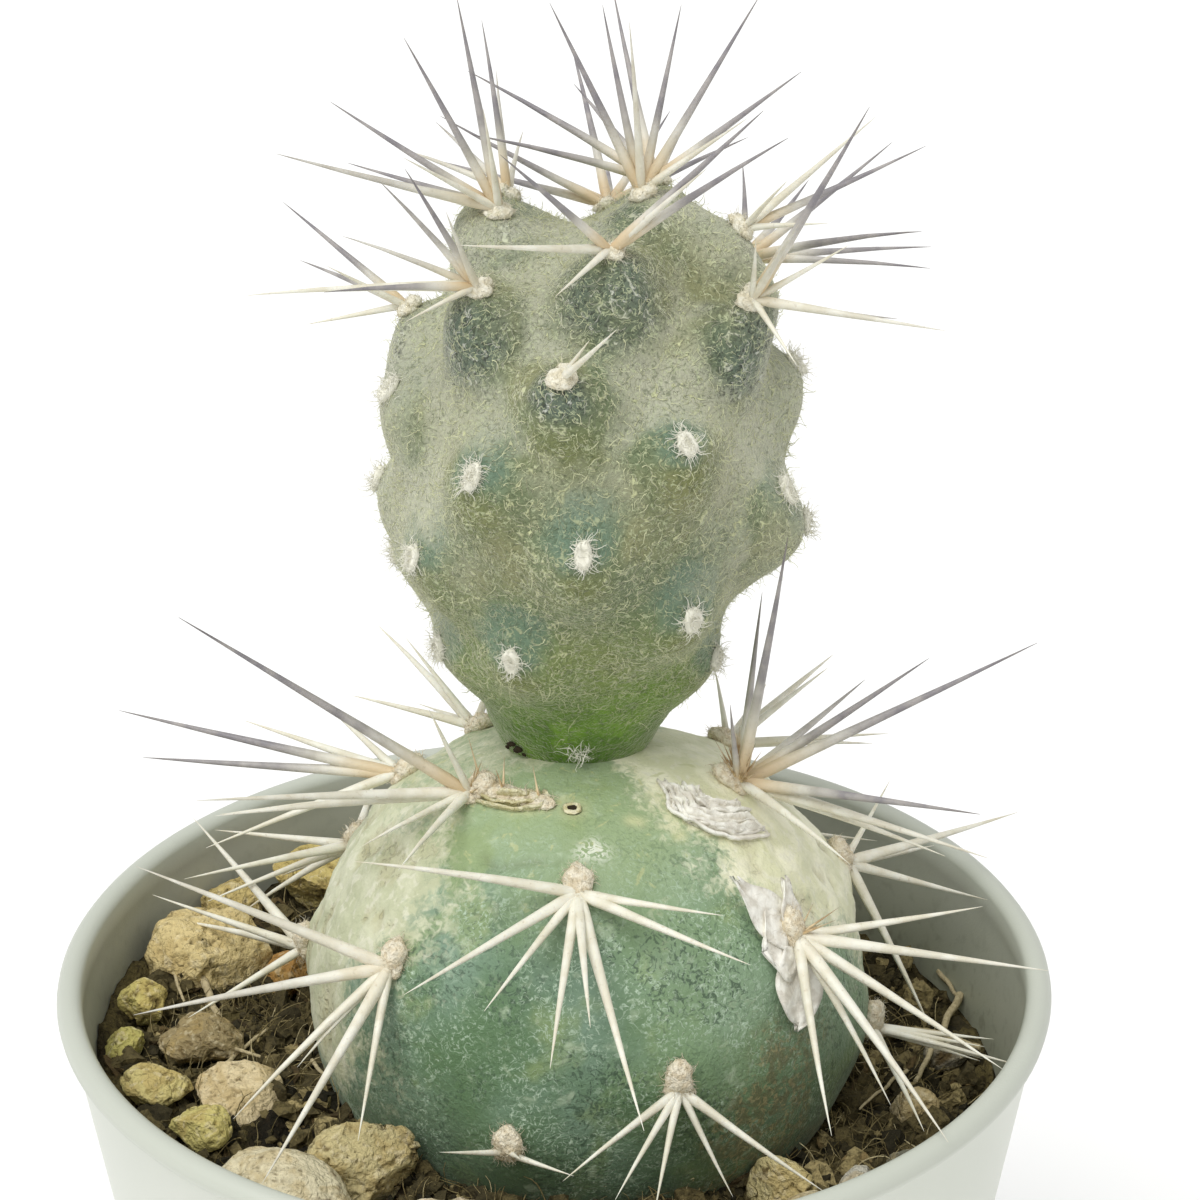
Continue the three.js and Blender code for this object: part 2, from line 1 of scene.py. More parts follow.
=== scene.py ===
"""A potted cactus of two stem segments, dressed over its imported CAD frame. Metres, +Z up."""
import math

import bmesh
import bpy
import numpy as np
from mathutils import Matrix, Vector, noise
from mathutils.bvhtree import BVHTree


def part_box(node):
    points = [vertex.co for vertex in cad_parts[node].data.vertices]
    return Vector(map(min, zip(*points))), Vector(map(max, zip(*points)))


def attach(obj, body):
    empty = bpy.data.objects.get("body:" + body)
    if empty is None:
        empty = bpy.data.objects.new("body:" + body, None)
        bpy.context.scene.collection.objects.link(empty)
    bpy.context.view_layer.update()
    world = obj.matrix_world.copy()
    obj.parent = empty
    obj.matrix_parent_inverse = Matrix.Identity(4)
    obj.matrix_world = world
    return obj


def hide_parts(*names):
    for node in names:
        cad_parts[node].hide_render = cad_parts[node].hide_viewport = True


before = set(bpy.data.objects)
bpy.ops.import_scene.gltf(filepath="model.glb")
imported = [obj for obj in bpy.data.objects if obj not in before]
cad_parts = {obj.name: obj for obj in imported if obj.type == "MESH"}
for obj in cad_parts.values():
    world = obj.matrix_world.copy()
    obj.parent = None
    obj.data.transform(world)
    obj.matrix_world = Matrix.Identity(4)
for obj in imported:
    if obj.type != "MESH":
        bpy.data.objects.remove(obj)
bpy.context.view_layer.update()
MM = 0.001

# ---- Camera, floor and light --------------------------------------------------------
# The plant stands on a plain white table. Light comes from all round and, more strongly,
# from a veiled window at its upper left. It is seen from the front and a little above.
CAMERA_PLACE = (3.89 * MM, -259.12 * MM, 221.18 * MM)
CAMERA_PITCH = 24.38  # degrees below level
CAMERA_LENS = 104.07
CAMERA_NEAR = 0.01  # metres before it, where what it sees begins
FLOOR_SIZE = 6.0
SKY_STRENGTH = 0.62
SUN_FROM = Vector((-0.3, -0.42, 0.9))
SUN_SPREAD = 42  # degrees across, as behind a thin curtain
SUN_STRENGTH = 2.1


def shade(red, green, blue):
    """A colour as it looks, 0 to 255, turned into the light that it reflects."""
    parts = [part / 255 for part in (red, green, blue)]
    return tuple(((p + 0.055) / 1.055) ** 2.4 if p > 0.04 else p / 12.92 for p in parts) + (1.0,)


def add(tree, kind, inputs=None, **settings):
    """A node with its settings, and its inputs given values or linked to other nodes."""
    node = tree.nodes.new(kind)
    for name, value in settings.items():
        setattr(node, name, value)
    for name, value in (inputs or {}).items():
        if isinstance(value, bpy.types.NodeSocket):
            tree.links.new(value, node.inputs[name])
        else:
            node.inputs[name].default_value = value
    return node


def coated(name, **values):
    """A new material whose shader has these plain values."""
    made = bpy.data.materials.new(name)
    made.use_nodes = True
    shader = made.node_tree.nodes["Principled BSDF"]
    for socket, value in values.items():
        shader.inputs[socket.replace("_", " ")].default_value = value
    return made


def placed(name, mesh, *materials):
    """A mesh as an object of the scene, at the origin."""
    piece = bpy.data.objects.new(name, mesh)
    bpy.context.scene.collection.objects.link(piece)
    for material in materials:
        mesh.materials.append(material)
    return piece


def from_faces(name, points, faces, *materials):
    """An object from numpy points in metres and lists of corners."""
    mesh = bpy.data.meshes.new(name)
    mesh.from_pydata([tuple(point) for point in points], [], faces)
    mesh.update()
    return placed(name, mesh, *materials)


camera = bpy.data.objects.new("camera", bpy.data.cameras.new("camera"))
bpy.context.scene.collection.objects.link(camera)
camera.data.lens = CAMERA_LENS
camera.data.clip_start = CAMERA_NEAR
camera.location = CAMERA_PLACE
camera.rotation_euler = (math.radians(90 - CAMERA_PITCH), 0, 0)
bpy.context.scene.camera = camera
bpy.context.scene.view_settings.view_transform = "Standard"

white = coated("white_table", Base_Color=shade(250, 250, 249), Roughness=0.9)
half = FLOOR_SIZE / 2
corners = [(-half, -half, 0), (half, -half, 0), (half, half, 0), (-half, half, 0)]
from_faces("floor", corners, [(0, 1, 2, 3)], white)

world = bpy.data.worlds.new("soft_sky")
world.use_nodes = True
world.node_tree.nodes["Background"].inputs["Color"].default_value = (1, 1, 1, 1)
world.node_tree.nodes["Background"].inputs["Strength"].default_value = SKY_STRENGTH
bpy.context.scene.world = world

sun = bpy.data.objects.new("sun", bpy.data.lights.new("sun", "SUN"))
sun.data.angle = math.radians(SUN_SPREAD)
sun.data.energy = SUN_STRENGTH
sun.rotation_euler = (-SUN_FROM).to_track_quat("-Z", "Y").to_euler()
bpy.context.scene.collection.objects.link(sun)

# ---- Pot ----------------------------------------------------------------------------
# A thin tapering pot of pale grey plastic, moulded in one piece with a rolled bead round
# its rim and six drainage holes in its floor. Its inside is painted greyer as shade, which
# deepens from the rim down to just above the soil, where soil stains lie too.
POT_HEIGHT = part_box("pot")[1].z
RIM_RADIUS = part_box("pot")[1].x
TOP_RADIUS = RIM_RADIUS - 0.6 * MM  # where the wall would be level with the rim
BASE_RADIUS = 30.5 * MM
BASE_ROUND = 0.6 * MM  # how far the edge of the base is taken off
WALL = 1.0 * MM
FLOOR = 1.4 * MM
BEAD = 1.1 * MM  # radius of its round section
BEAD_ROOT = 0.3 * MM  # how far under the bead the outer wall turns into it
BEAD_FROM = -70  # degrees round the section, where the bead leaves the outer wall
BEAD_SWEEP = 235
BEAD_STEPS = 10
INNER_STEPS = (0.96, 0.94, 0.92, 0.9, 0.88, 0.86, 0.84, 0.8, 0.7, 0.5, 0.25)  # of its height
POT_SIDES = 180
DRAIN_HOLES = 6
DRAIN_RADIUS = 2.8 * MM
DRAIN_CIRCLE = 20 * MM
DRAIN_SIDES = 40
SHADE_DEPTH = 12 * MM  # below the rim, where the painted shade and the soil stains are full


def new_group(name, kind, inputs, outputs):
    """An empty node group with named inputs and outputs, and its two end nodes."""
    group = bpy.data.node_groups.new(name, kind)
    for label, socket, value in inputs:
        made = group.interface.new_socket(
            name=label, in_out="INPUT", socket_type="NodeSocket" + socket)
        if value is not None:
            made.default_value = value
    for label, socket in outputs:
        group.interface.new_socket(
            name=label, in_out="OUTPUT", socket_type="NodeSocket" + socket)
    return group, add(group, "NodeGroupInput"), add(group, "NodeGroupOutput")


def worked(tree, operation, first, second=0.0):
    """One step of arithmetic."""
    return add(tree, "ShaderNodeMath", {0: first, 1: second}, operation=operation).outputs[0]


def sum_of(tree, first, second):
    return worked(tree, "ADD", first, second)


def times(tree, first, second):
    return worked(tree, "MULTIPLY", first, second)


def scaled(tree, vector, factor):
    return add(tree, "ShaderNodeVectorMath", {0: vector, "Scale": factor},
               operation="SCALE").outputs["Vector"]


def ramp(tree, value, start, end, easing="SMOOTHSTEP"):
    """A mask that goes from 0, where a value is at its start, to 1 at its end."""
    return add(tree, "ShaderNodeMapRange", {
        "Value": value, "From Min": start, "From Max": end},
        interpolation_type=easing).outputs["Result"]


def per_mm(group, count):
    """Object coordinates, scaled so that a pattern's scale counts its grains per mm."""
    coordinates = add(group, "ShaderNodeTexCoord").outputs["Object"]
    return scaled(group, scaled(group, coordinates, 1 / MM), count)


def grain_group():
    """Soft noise, as a mask that rises from 0 at From to 1 at To."""
    group, given, result = new_group(
        "grain", "ShaderNodeTree",
        [("Per mm", "Float", 1.0), ("Detail", "Float", 3.0), ("Warp", "Float", 0.0),
         ("From", "Float", 0.4), ("To", "Float", 0.6)],
        [("Mask", "Float")])
    texture = add(group, "ShaderNodeTexNoise", {
        "Vector": per_mm(group, given.outputs["Per mm"]), "Scale": 1.0,
        "Detail": given.outputs["Detail"], "Distortion": given.outputs["Warp"]})
    mask = ramp(group, texture.outputs["Fac"], given.outputs["From"], given.outputs["To"])
    group.links.new(mask, result.inputs["Mask"])
    return group


def thread_group():
    """Fine crinkled lines, broken into short lengths, as a mask."""
    group, given, result = new_group(
        "threads", "ShaderNodeTree",
        [("Per mm", "Float", 1.0), ("Width", "Float", 0.03)], [("Mask", "Float")])
    place = per_mm(group, given.outputs["Per mm"])
    wander = add(group, "ShaderNodeTexNoise", {
        "Vector": place, "Scale": 1.0, "Detail": 1.5, "Distortion": 1.4})
    off_line = worked(group, "SUBTRACT", wander.outputs["Fac"], 0.5)
    line = ramp(group, worked(group, "ABSOLUTE", off_line), given.outputs["Width"], 0.0)
    breaks = add(group, "ShaderNodeTexNoise", {"Vector": place, "Scale": 1.7, "Detail": 0.0})
    lengths = ramp(group, breaks.outputs["Fac"], 0.44, 0.52, "LINEAR")
    group.links.new(times(group, line, lengths), result.inputs["Mask"])
    return group


GRAIN = grain_group()
THREADS = thread_group()


def grain(tree, size, start, end, detail=3.0, warp=0.0):
    return add(tree, "ShaderNodeGroup", {
        "Per mm": size, "From": start, "To": end, "Detail": detail, "Warp": warp,
    }, node_tree=GRAIN).outputs["Mask"]


def threads(tree, size, width=0.03):
    return add(tree, "ShaderNodeGroup", {"Per mm": size, "Width": width},
               node_tree=THREADS).outputs["Mask"]


def stored(tree, name):
    """A mask that is kept on the mesh."""
    return add(tree, "ShaderNodeAttribute", attribute_name=name).outputs["Fac"]


def mixed(tree, mask, first, second):
    """The second colour over the first, by a mask."""
    node = add(tree, "ShaderNodeMix", {0: mask, 6: first, 7: second}, data_type="RGBA")
    return node.outputs[2]


def two_tone(tree, mask, first, second):
    """Two colours, 0 to 255, mixed by a mask."""
    return mixed(tree, mask, shade(*first), shade(*second))


def over(tree, body, colour, mask, strength=1):
    """A colour, 0 to 255, laid over a body by a mask."""
    if strength != 1:
        mask = times(tree, mask, strength)
    return mixed(tree, mask, body, shade(*colour))


def dressed(material, colour, height=None, depth=0.0):
    """Leads a colour, and a bump of some depth, to the material's shader."""
    tree = material.node_tree
    shader = tree.nodes["Principled BSDF"]
    tree.links.new(colour, shader.inputs["Base Color"])
    if height is not None:
        bump = add(tree, "ShaderNodeBump", {"Height": height, "Distance": depth})
        tree.links.new(bump.outputs["Normal"], shader.inputs["Normal"])


def keep_mask(mesh, name, values):
    """Stores one number for each vertex."""
    layer = mesh.attributes.new(name, "FLOAT", "POINT")
    layer.data.foreach_set("value", np.asarray(values, np.float32))


def lathe(outline, sides):
    """Points and faces of a closed shape turned round +Z from (radius, height) pairs."""
    points, rings, faces = [], [], []
    for radius, height in outline:
        if radius == 0:
            rings.append([len(points)] * sides)
            points.append((0, 0, height))
            continue
        rings.append(range(len(points), len(points) + sides))
        for side in range(sides):
            angle = 2 * math.pi * side / sides
            points.append((radius * math.cos(angle), radius * math.sin(angle), height))
    for low, high in zip(rings, rings[1:]):
        for side in range(sides):
            after = (side + 1) % sides
            corners = (low[side], low[after], high[after], high[side])
            faces.append(tuple(dict.fromkeys(corners)))
    return np.array(points), faces


def outer_radius(height):
    return BASE_RADIUS + (TOP_RADIUS - BASE_RADIUS) * height / POT_HEIGHT


def inner_radius(height):
    return outer_radius(height) - WALL


def pot_outline():
    """Its section, from the middle of the base up the outside and down the inside."""
    bead_radius = RIM_RADIUS - BEAD
    bead_height = POT_HEIGHT - BEAD
    under = bead_height - BEAD
    outline = [(0, 0), (BASE_RADIUS - BASE_ROUND, 0), (outer_radius(BASE_ROUND), BASE_ROUND)]
    outline += [(outer_radius(under * step), under * step) for step in (0.25, 0.5, 0.75)]
    outline.append((outer_radius(under - BEAD_ROOT), under - BEAD_ROOT))
    for step in range(BEAD_STEPS + 1):
        angle = math.radians(BEAD_FROM + BEAD_SWEEP * step / BEAD_STEPS)
        outline.append((bead_radius + BEAD * math.cos(angle),
                        bead_height + BEAD * math.sin(angle)))
    outline += [(inner_radius(POT_HEIGHT * step), POT_HEIGHT * step) for step in INNER_STEPS]
    outline += [(inner_radius(FLOOR + MM), FLOOR + MM), (inner_radius(0) - MM, FLOOR)]
    return outline + [(0, FLOOR)]


def plastic():
    made = coated("grey_plastic", Roughness=0.4, Subsurface_Weight=0.05,
                  Subsurface_Radius=(0.002, 0.002, 0.002))
    tree = made.node_tree
    body = two_tone(tree, grain(tree, 0.06, 0.3, 0.7, 2), (211, 215, 203), (214, 217, 206))
    # Painted reflection: the rolled bead is a darker grey than the wall
    body = over(tree, body, (192, 196, 184), stored(tree, "lip"))
    # Painted shade: the inside is greyer than the outside, and darker still from the rim down to
    # the soil, where soil stains lie too
    inner_shade = two_tone(tree, grain(tree, 0.05, 0.35, 0.65, 2), (178, 181, 168), (188, 190, 180))
    body = mixed(tree, stored(tree, "inside"), body, inner_shade)
    body = over(tree, body, (150, 153, 130), stored(tree, "shade_and_stains"), 0.8)
    soiled = times(tree, stored(tree, "shade_and_stains"), grain(tree, 0.9, 0.5, 0.7, 5))
    body = over(tree, body, (84, 78, 58), soiled, 0.35)
    dressed(made, body, grain(tree, 5, 0.2, 0.8, 2), 0.006 * MM)
    return made


points, faces = lathe(pot_outline(), POT_SIDES)
pot = from_faces("pot_shell", points, faces, plastic())
for hole in range(DRAIN_HOLES):
    angle = 2 * math.pi * hole / DRAIN_HOLES
    low, high = -FLOOR, 3 * FLOOR
    cutter_points, cutter_faces = lathe(
        [(0, low), (DRAIN_RADIUS, low), (DRAIN_RADIUS, high), (0, high)], DRAIN_SIDES)
    cutter_points += (DRAIN_CIRCLE * math.cos(angle), DRAIN_CIRCLE * math.sin(angle), 0)
    cutter = from_faces("drill", cutter_points, cutter_faces)
    cut = pot.modifiers.new("drain", "BOOLEAN")
    cut.object = cutter
    cut.operation = "DIFFERENCE"
    cut.solver = "EXACT"
    shape = bpy.data.meshes.new_from_object(
        pot.evaluated_get(bpy.context.evaluated_depsgraph_get()))
    pot.modifiers.remove(cut)
    pot.data = shape
    bpy.data.objects.remove(cutter)
pot.data.shade_smooth()
sharp = pot.data.attributes.new("sharp_edge", "BOOLEAN", "EDGE")
rise = np.array([corner.co.z for corner in pot.data.vertices])
reach = np.array([math.hypot(corner.co.x, corner.co.y) for corner in pot.data.vertices])
flat_ends = [rise[a] <= FLOOR and rise[b] <= FLOOR for a, b in pot.data.edge_keys]
sharp.data.foreach_set("value", flat_ends)
inside = reach < np.array([outer_radius(height) for height in rise]) - 0.5 * WALL
# Where shade is painted inside, deepening from the rim down to just above the soil
keep_mask(pot.data, "inside", inside * np.clip((POT_HEIGHT - BEAD - rise) / BEAD, 0, 1))
keep_mask(pot.data, "shade_and_stains", inside * np.clip((POT_HEIGHT - rise) / SHADE_DEPTH, 0, 1) ** 1.5)
# Where the bead is painted darker, as a reflection
keep_mask(pot.data, "lip", np.clip((rise - POT_HEIGHT + 2 * BEAD) / BEAD, 0, 1))
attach(pot, "root")
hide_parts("pot")

# ---- Lower segment ------------------------------------------------------------------
# The old round joint, half sunk in the soil. Its skin is blue-green and finely flecked,
# bleached pale and corky on its shoulders, and earthy where it meets the soil.
GOLDEN_ANGLE = 137.5  # degrees from each areole to the next
FIRST_AZIMUTH = -2  # of areole 0, round from the front to the right
LOWER_FOOT = 44.8
LOWER_MIDDLE = 67.6
LOWER_CROWN = 90.0
LOWER_RADIUS = 23.7
# How far its outline's curves run on from each of their ends before they bend
LOWER_PULL = {"foot": 13.2, "below": 12.6, "above": 11.9, "crown": 14}
LOWER_AXIS = {"x": 2.7, "y": 0, "lean": 0}
# A tubercle's height low down and near the crown, how far it reaches sideways, above and
# below its middle, and how far the middle lies below the areole
LOWER_TUBERCLE = {"height": (0.7, 0.7), "Side": 4.5, "Above": 4.5, "Below": 4.5,
                  "drop": (0, 0)}
TUBERCLE_RAMP = (0.5, 0.82)
# Areoles first to last: where 0 is, as a share along the outline from foot to crown, and
# the step to the next. The shifts off this spiral are in degrees round, and along
LOWER_SPIRAL = {"first": -3, "last": 14, "along": 0.768, "step": -0.0245}
LOWER_SHIFTS = {
    -3: (-6, 0.01), -2: (0, 0.005), 2: (-22, 0.04), 3: (3, -0.03), 5: (-11, 0),
    8: (0, -0.02), 10: (-30, 0), 11: (12, -0.03), 13: (0, 0.03),
}
TUBERCLE_ROUNDNESS = 2.4
# Marks of its skin, as places in degrees round it and shares along its outline
CREASE = ((-37, 0.8), (-30, 0.79), (-20, 0.806), (-8.5, 0.81))
HEM = ((-50, 0.862), (-34, 0.864), (-24, 0.876), (-16, 0.9))
HOLE = ((-8.3, 0.886), (-6.7, 0.886))
SCAB = ((0, 0.822), (3, 0.829), (5, 0.822))
CRUSTS = (((22, 0.862), (26, 0.858)), ((38, 0.826), (40, 0.826)))
SKIN_FINENESS = 7  # halvings of the ball that a skin starts from
CAST = 12  # how far outside its bare shape a stem's skin is looked for


def smooth(values, low, high):
    """A mask from 0, where values are low, to 1, where they are high."""
    share = np.clip((np.asarray(values, float) - low) / (high - low), 0, 1)
    return share * share * (3 - 2 * share)


def curve(start, pull, push, end, steps=120):
    """Points of a Bezier curve, without its start."""
    share = np.linspace(0, 1, steps + 1)[1:, None]
    start, pull, push, end = (np.array(p, float) for p in (start, pull, push, end))
    return ((1 - share) ** 3 * start + 3 * (1 - share) ** 2 * share * pull
            + 3 * (1 - share) * share ** 2 * push + share ** 3 * end)


def basis(out):
    """The directions across and up the surface that faces out."""
    across = np.cross((0, 0, 1), out)
    across = across / np.linalg.norm(across)
    return across, np.cross(out, across)


def keep_directions(mesh, name, values):
    """Stores one direction for each vertex."""
    layer = mesh.attributes.new(name, "FLOAT_VECTOR", "POINT")
    layer.data.foreach_set("vector", np.asarray(values, np.float32).ravel())


def socket_number(tree, label):
    """The identifier by which a modifier knows one of its tree's inputs."""
    return next(item.identifier for item in tree.interface.items_tree
                if item.name == label and item.in_out == "INPUT")


def grown(name, mesh, tree, values):
    """The plain mesh that a tree makes from a mesh, as an object of its own."""
    host = placed(name, mesh)
    modifier = host.modifiers.new(tree.name, "NODES")
    modifier.node_group = tree
    for label, value in values.items():
        modifier[socket_number(tree, label)] = value
    shape = bpy.data.meshes.new_from_object(
        host.evaluated_get(bpy.context.evaluated_depsgraph_get()))
    host.modifiers.remove(modifier)
    host.data = shape
    return host


def kept_value(tree, name, kind="FLOAT"):
    """What a geometry's points keep under a name."""
    return add(tree, "GeometryNodeInputNamedAttribute", {"Name": name},
               data_type=kind).outputs["Attribute"]


def with_value(tree, geometry, name, value):
    """A geometry whose points keep one more number, under a name."""
    return add(tree, "GeometryNodeStoreNamedAttribute", {
        "Geometry": geometry, "Name": name, "Value": value},
        data_type="FLOAT", domain="POINT").outputs["Geometry"]


def end_in_finish(tree, given, result, geometry):
    """Makes all copies real and gives them the tree's finish."""
    real = add(tree, "GeometryNodeRealizeInstances", {"Geometry": geometry})
    coat = add(tree, "GeometryNodeSetMaterial", {
        "Geometry": real.outputs["Geometry"], "Material": given.outputs["Finish"]})
    tree.links.new(coat.outputs["Geometry"], result.inputs["Geometry"])


def raising_tree():
    """A bare stem with a rounded swelling raised round each point of a second object."""
    tree, given, result = new_group(
        "raising", "GeometryNodeTree",
        [("Bare", "Geometry", None), ("Areoles", "Object", None), ("Side", "Float", 4.0),
         ("Above", "Float", 4.0), ("Below", "Float", 4.0), ("Roundness", "Float", 2.0),
         ("Finish", "Material", None)],
        [("Geometry", "Geometry")])
    side = given.outputs["Side"]
    spots = add(tree, "GeometryNodeObjectInfo", {
        "Object": given.outputs["Areoles"]}).outputs["Geometry"]
    count = add(tree, "GeometryNodeAttributeDomainSize", {
        "Geometry": spots}, component="MESH").outputs["Point Count"]
    begin = add(tree, "GeometryNodeRepeatInput")
    finish = add(tree, "GeometryNodeRepeatOutput")
    begin.pair_with_output(finish)
    finish.repeat_items.new("INT", "Number")
    tree.links.new(count, begin.inputs["Iterations"])
    tree.links.new(given.outputs["Bare"], begin.inputs["Geometry"])
    begin.inputs["Number"].default_value = 0
    number = begin.outputs["Number"]
    place = add(tree, "GeometryNodeInputPosition").outputs[0]
    middle, upwards = (
        add(tree, "GeometryNodeSampleIndex", {
            "Geometry": spots, "Value": value, "Index": number},
            data_type="FLOAT_VECTOR").outputs["Value"]
        for value in (place, kept_value(tree, "upwards", "FLOAT_VECTOR")))
    gap = add(tree, "ShaderNodeVectorMath", {0: place, 1: middle},
              operation="SUBTRACT").outputs[0]
    gap = scaled(tree, gap, 1 / MM)
    up, far = (
        add(tree, "ShaderNodeVectorMath", {0: gap, 1: other},
            operation="DOT_PRODUCT").outputs["Value"] for other in (upwards, gap))
    aside = worked(tree, "SUBTRACT", far, times(tree, up, up))
    aside = worked(tree, "DIVIDE", aside, times(tree, side, side))
    span = add(tree, "ShaderNodeMix", {
        0: worked(tree, "GREATER_THAN", up, 0), 2: given.outputs["Below"],
        3: given.outputs["Above"]}, data_type="FLOAT").outputs[0]
    steep = worked(tree, "DIVIDE", up, span)
    reach = sum_of(tree, aside, times(tree, steep, steep))
    reach = worked(tree, "POWER", worked(tree, "MAXIMUM", reach, 0),
                   times(tree, given.outputs["Roundness"], 0.5))
    share = worked(tree, "POWER", math.e, times(tree, reach, -1))
    knob = kept_value(tree, "knob")
    swelling = with_value(tree, begin.outputs["Geometry"], "knob", sum_of(tree, knob, share))
    tree.links.new(swelling, finish.inputs["Geometry"])
    tree.links.new(sum_of(tree, number, 1), finish.inputs["Number"])
    rise = times(tree, times(tree, kept_value(tree, "height"), knob), MM)
    moved = add(tree, "GeometryNodeSetPosition", {
        "Geometry": finish.outputs["Geometry"],
        "Offset": scaled(tree, kept_value(tree, "out", "FLOAT_VECTOR"), rise)})
    end_in_finish(tree, given, result, moved.outputs["Geometry"])
    return tree


RAISING = raising_tree()


class Stem:
    """An outline turned round its own axis, with a tubercle at each areole. In mm."""

    def __init__(self, outline, axis, tubercle):
        self.outline = outline
        steps = np.linalg.norm(np.diff(outline, axis=0), axis=1)
        self.run = np.concatenate([[0], np.cumsum(steps)])
        self.axis = axis
        self.tubercle = tubercle
        self.areoles = []

    def outline_at(self, along):
        """The radius and the height at shares of the outline's length."""
        run = np.clip(along, 0, 1) * self.run[-1]
        return (np.interp(run, self.run, self.outline[:, 0]),
                np.interp(run, self.run, self.outline[:, 1]))

    def bare(self, azimuth, along):
        """Points of the shape without its tubercles, and the directions they face."""
        radius, height = self.outline_at(along)
        wide, tall = (after - before for after, before in zip(
            self.outline_at(along + 0.004), self.outline_at(along - 0.004)))
        size = np.hypot(wide, tall)
        side, front = np.sin(azimuth), -np.cos(azimuth)
        middle = self.axis["x"] + self.axis["lean"] * (height - self.outline[0, 1])
        point = np.stack(
            [middle + radius * side, self.axis["y"] + radius * front, height], -1)
        out = np.stack([tall * side, tall * front, -wide], -1) / np.expand_dims(size, -1)
        return point, out

    def graded(self, sizes, along):
        """A size that changes from its lower value to its upper one up the stem."""
        return sizes[0] + (sizes[1] - sizes[0]) * smooth(along, *TUBERCLE_RAMP)

    def add_areoles(self, spiral, shifts):
        """Areoles on a golden-angle spiral, each moved a little off it."""
        for index in range(spiral["first"], spiral["last"] + 1):
            degrees, slide = shifts.get(index, (0, 0))
            azimuth = math.radians(FIRST_AZIMUTH + GOLDEN_ANGLE * index + degrees)
            along = spiral["along"] + spiral["step"] * index + slide
            drop = self.graded(self.tubercle["drop"], along) / self.run[-1]
            root, out = self.bare(azimuth, along - drop)
            self.areoles.append({"index": index, "azimuth": azimuth, "along": along,
                                 "root": root, "upwards": basis(out)[1]})

    def grow(self, name, finish):
        """The skin, from an even ball drawn into the stem's shape. It faces outwards."""
        made = bmesh.new()
        bmesh.ops.create_icosphere(made, subdivisions=SKIN_FINENESS, radius=1)
        place = np.array([vertex.co for vertex in made.verts])
        faces = [tuple(vertex.index for vertex in face.verts) for face in made.faces]
        made.free()
        self.azimuth = np.arctan2(place[:, 0], -place[:, 1])
        self.along = np.arccos(np.clip(-place[:, 2], -1, 1)) / math.pi
        points, self.out = self.bare(self.azimuth, self.along)
        mesh = bpy.data.meshes.new(name)
        mesh.from_pydata([tuple(point) for point in points * MM], [], faces)
        keep_mask(mesh, "height", self.graded(self.tubercle["height"], self.along))
        keep_mask(mesh, "knob", np.zeros(len(points)))
        keep_directions(mesh, "out", self.out)
        spots = bpy.data.meshes.new(name + "_areoles")
        spots.from_pydata([tuple(areole["root"] * MM) for areole in self.areoles], [], [])
        keep_directions(spots, "upwards", [areole["upwards"] for areole in self.areoles])
        middles = bpy.data.objects.new(name + "_areoles", spots)
        spans = {key: self.tubercle[key] for key in ("Side", "Above", "Below")}
        skin = grown(name, mesh, RAISING, spans | {
            "Areoles": middles, "Roundness": TUBERCLE_ROUNDNESS, "Finish": finish})
        bpy.data.objects.remove(middles)
        self.points = np.array([vertex.co for vertex in skin.data.vertices]) / MM
        self.knob = np.zeros(len(points))
        skin.data.attributes["knob"].data.foreach_get("value", self.knob)
        self.hull = BVHTree.FromPolygons([tuple(point) for point in self.points], faces)
        for areole in self.areoles:
            azimuth, along = areole["azimuth"], areole["along"]
            areole["point"] = self.on_skin(azimuth, along)
            round_it = self.on_skin(azimuth + 0.03, along) - self.on_skin(azimuth - 0.03, along)
            up_it = self.on_skin(azimuth, along + 0.006) - self.on_skin(azimuth, along - 0.006)
            slope = np.cross(round_it, up_it)
            areole["out"] = slope / np.linalg.norm(slope)
        return skin

    def on_skin(self, azimuth, along):
        """The point of the skin over a point of the bare shape."""
        point, out = self.bare(azimuth, along)
        return np.array(self.hull.ray_cast(Vector(point + out * CAST), Vector(-out))[0])

    def beside(self, areole, clock, distance):
        """The skin's point at a clock angle, in degrees, and a distance from an areole."""
        turn = math.radians(clock)
        radius = self.outline_at(areole["along"])[0]
        azimuth = areole["azimuth"] + distance * math.sin(turn) / radius
        along = areole["along"] + distance * math.cos(turn) / self.run[-1]
        return self.on_skin(azimuth, along), self.bare(azimuth, along)[1]


def roughness(points, size, seed, octaves=1):
    """Soft noise between -1 and 1 at points in mm, with bumps of about the given size."""
    shift = Vector((seed * 17.3, seed * 5.1, seed * 9.7))
    return np.array([
        noise.fractal(Vector(point) / size + shift, 1.0, 2.0, octaves) if octaves > 1
        else noise.noise(Vector(point) / size + shift) for point in points])


def spot(stem, place):
    """A spot of a stem's skin, as if it were an areole."""
    azimuth, along = math.radians(place[0]), place[1]
    return {"azimuth": azimuth, "along": along, "point": stem.on_skin(azimuth, along),
            "out": stem.bare(azimuth, along)[1]}


def near_line(stem, places, width):
    """A mask along a line through places of a stem's skin: degrees round, and along."""
    steps = np.linspace(0, len(places) - 1, 20 * len(places))
    round_it, along = (np.interp(steps, range(len(places)), part) for part in zip(*places))
    line = [stem.on_skin(math.radians(turn), run) for turn, run in zip(round_it, along)]
    gap = np.min([np.linalg.norm(stem.points - point, axis=1) for point in line], axis=0)
    return np.exp(-(gap / width) ** 2)


def reshaped(piece, points):
    """Moves a piece's vertices to these points in mm, and smooths its shading."""
    piece.data.vertices.foreach_set("co", (points * MM).astype(np.float32).ravel())
    piece.data.update()
    piece.data.shade_smooth()


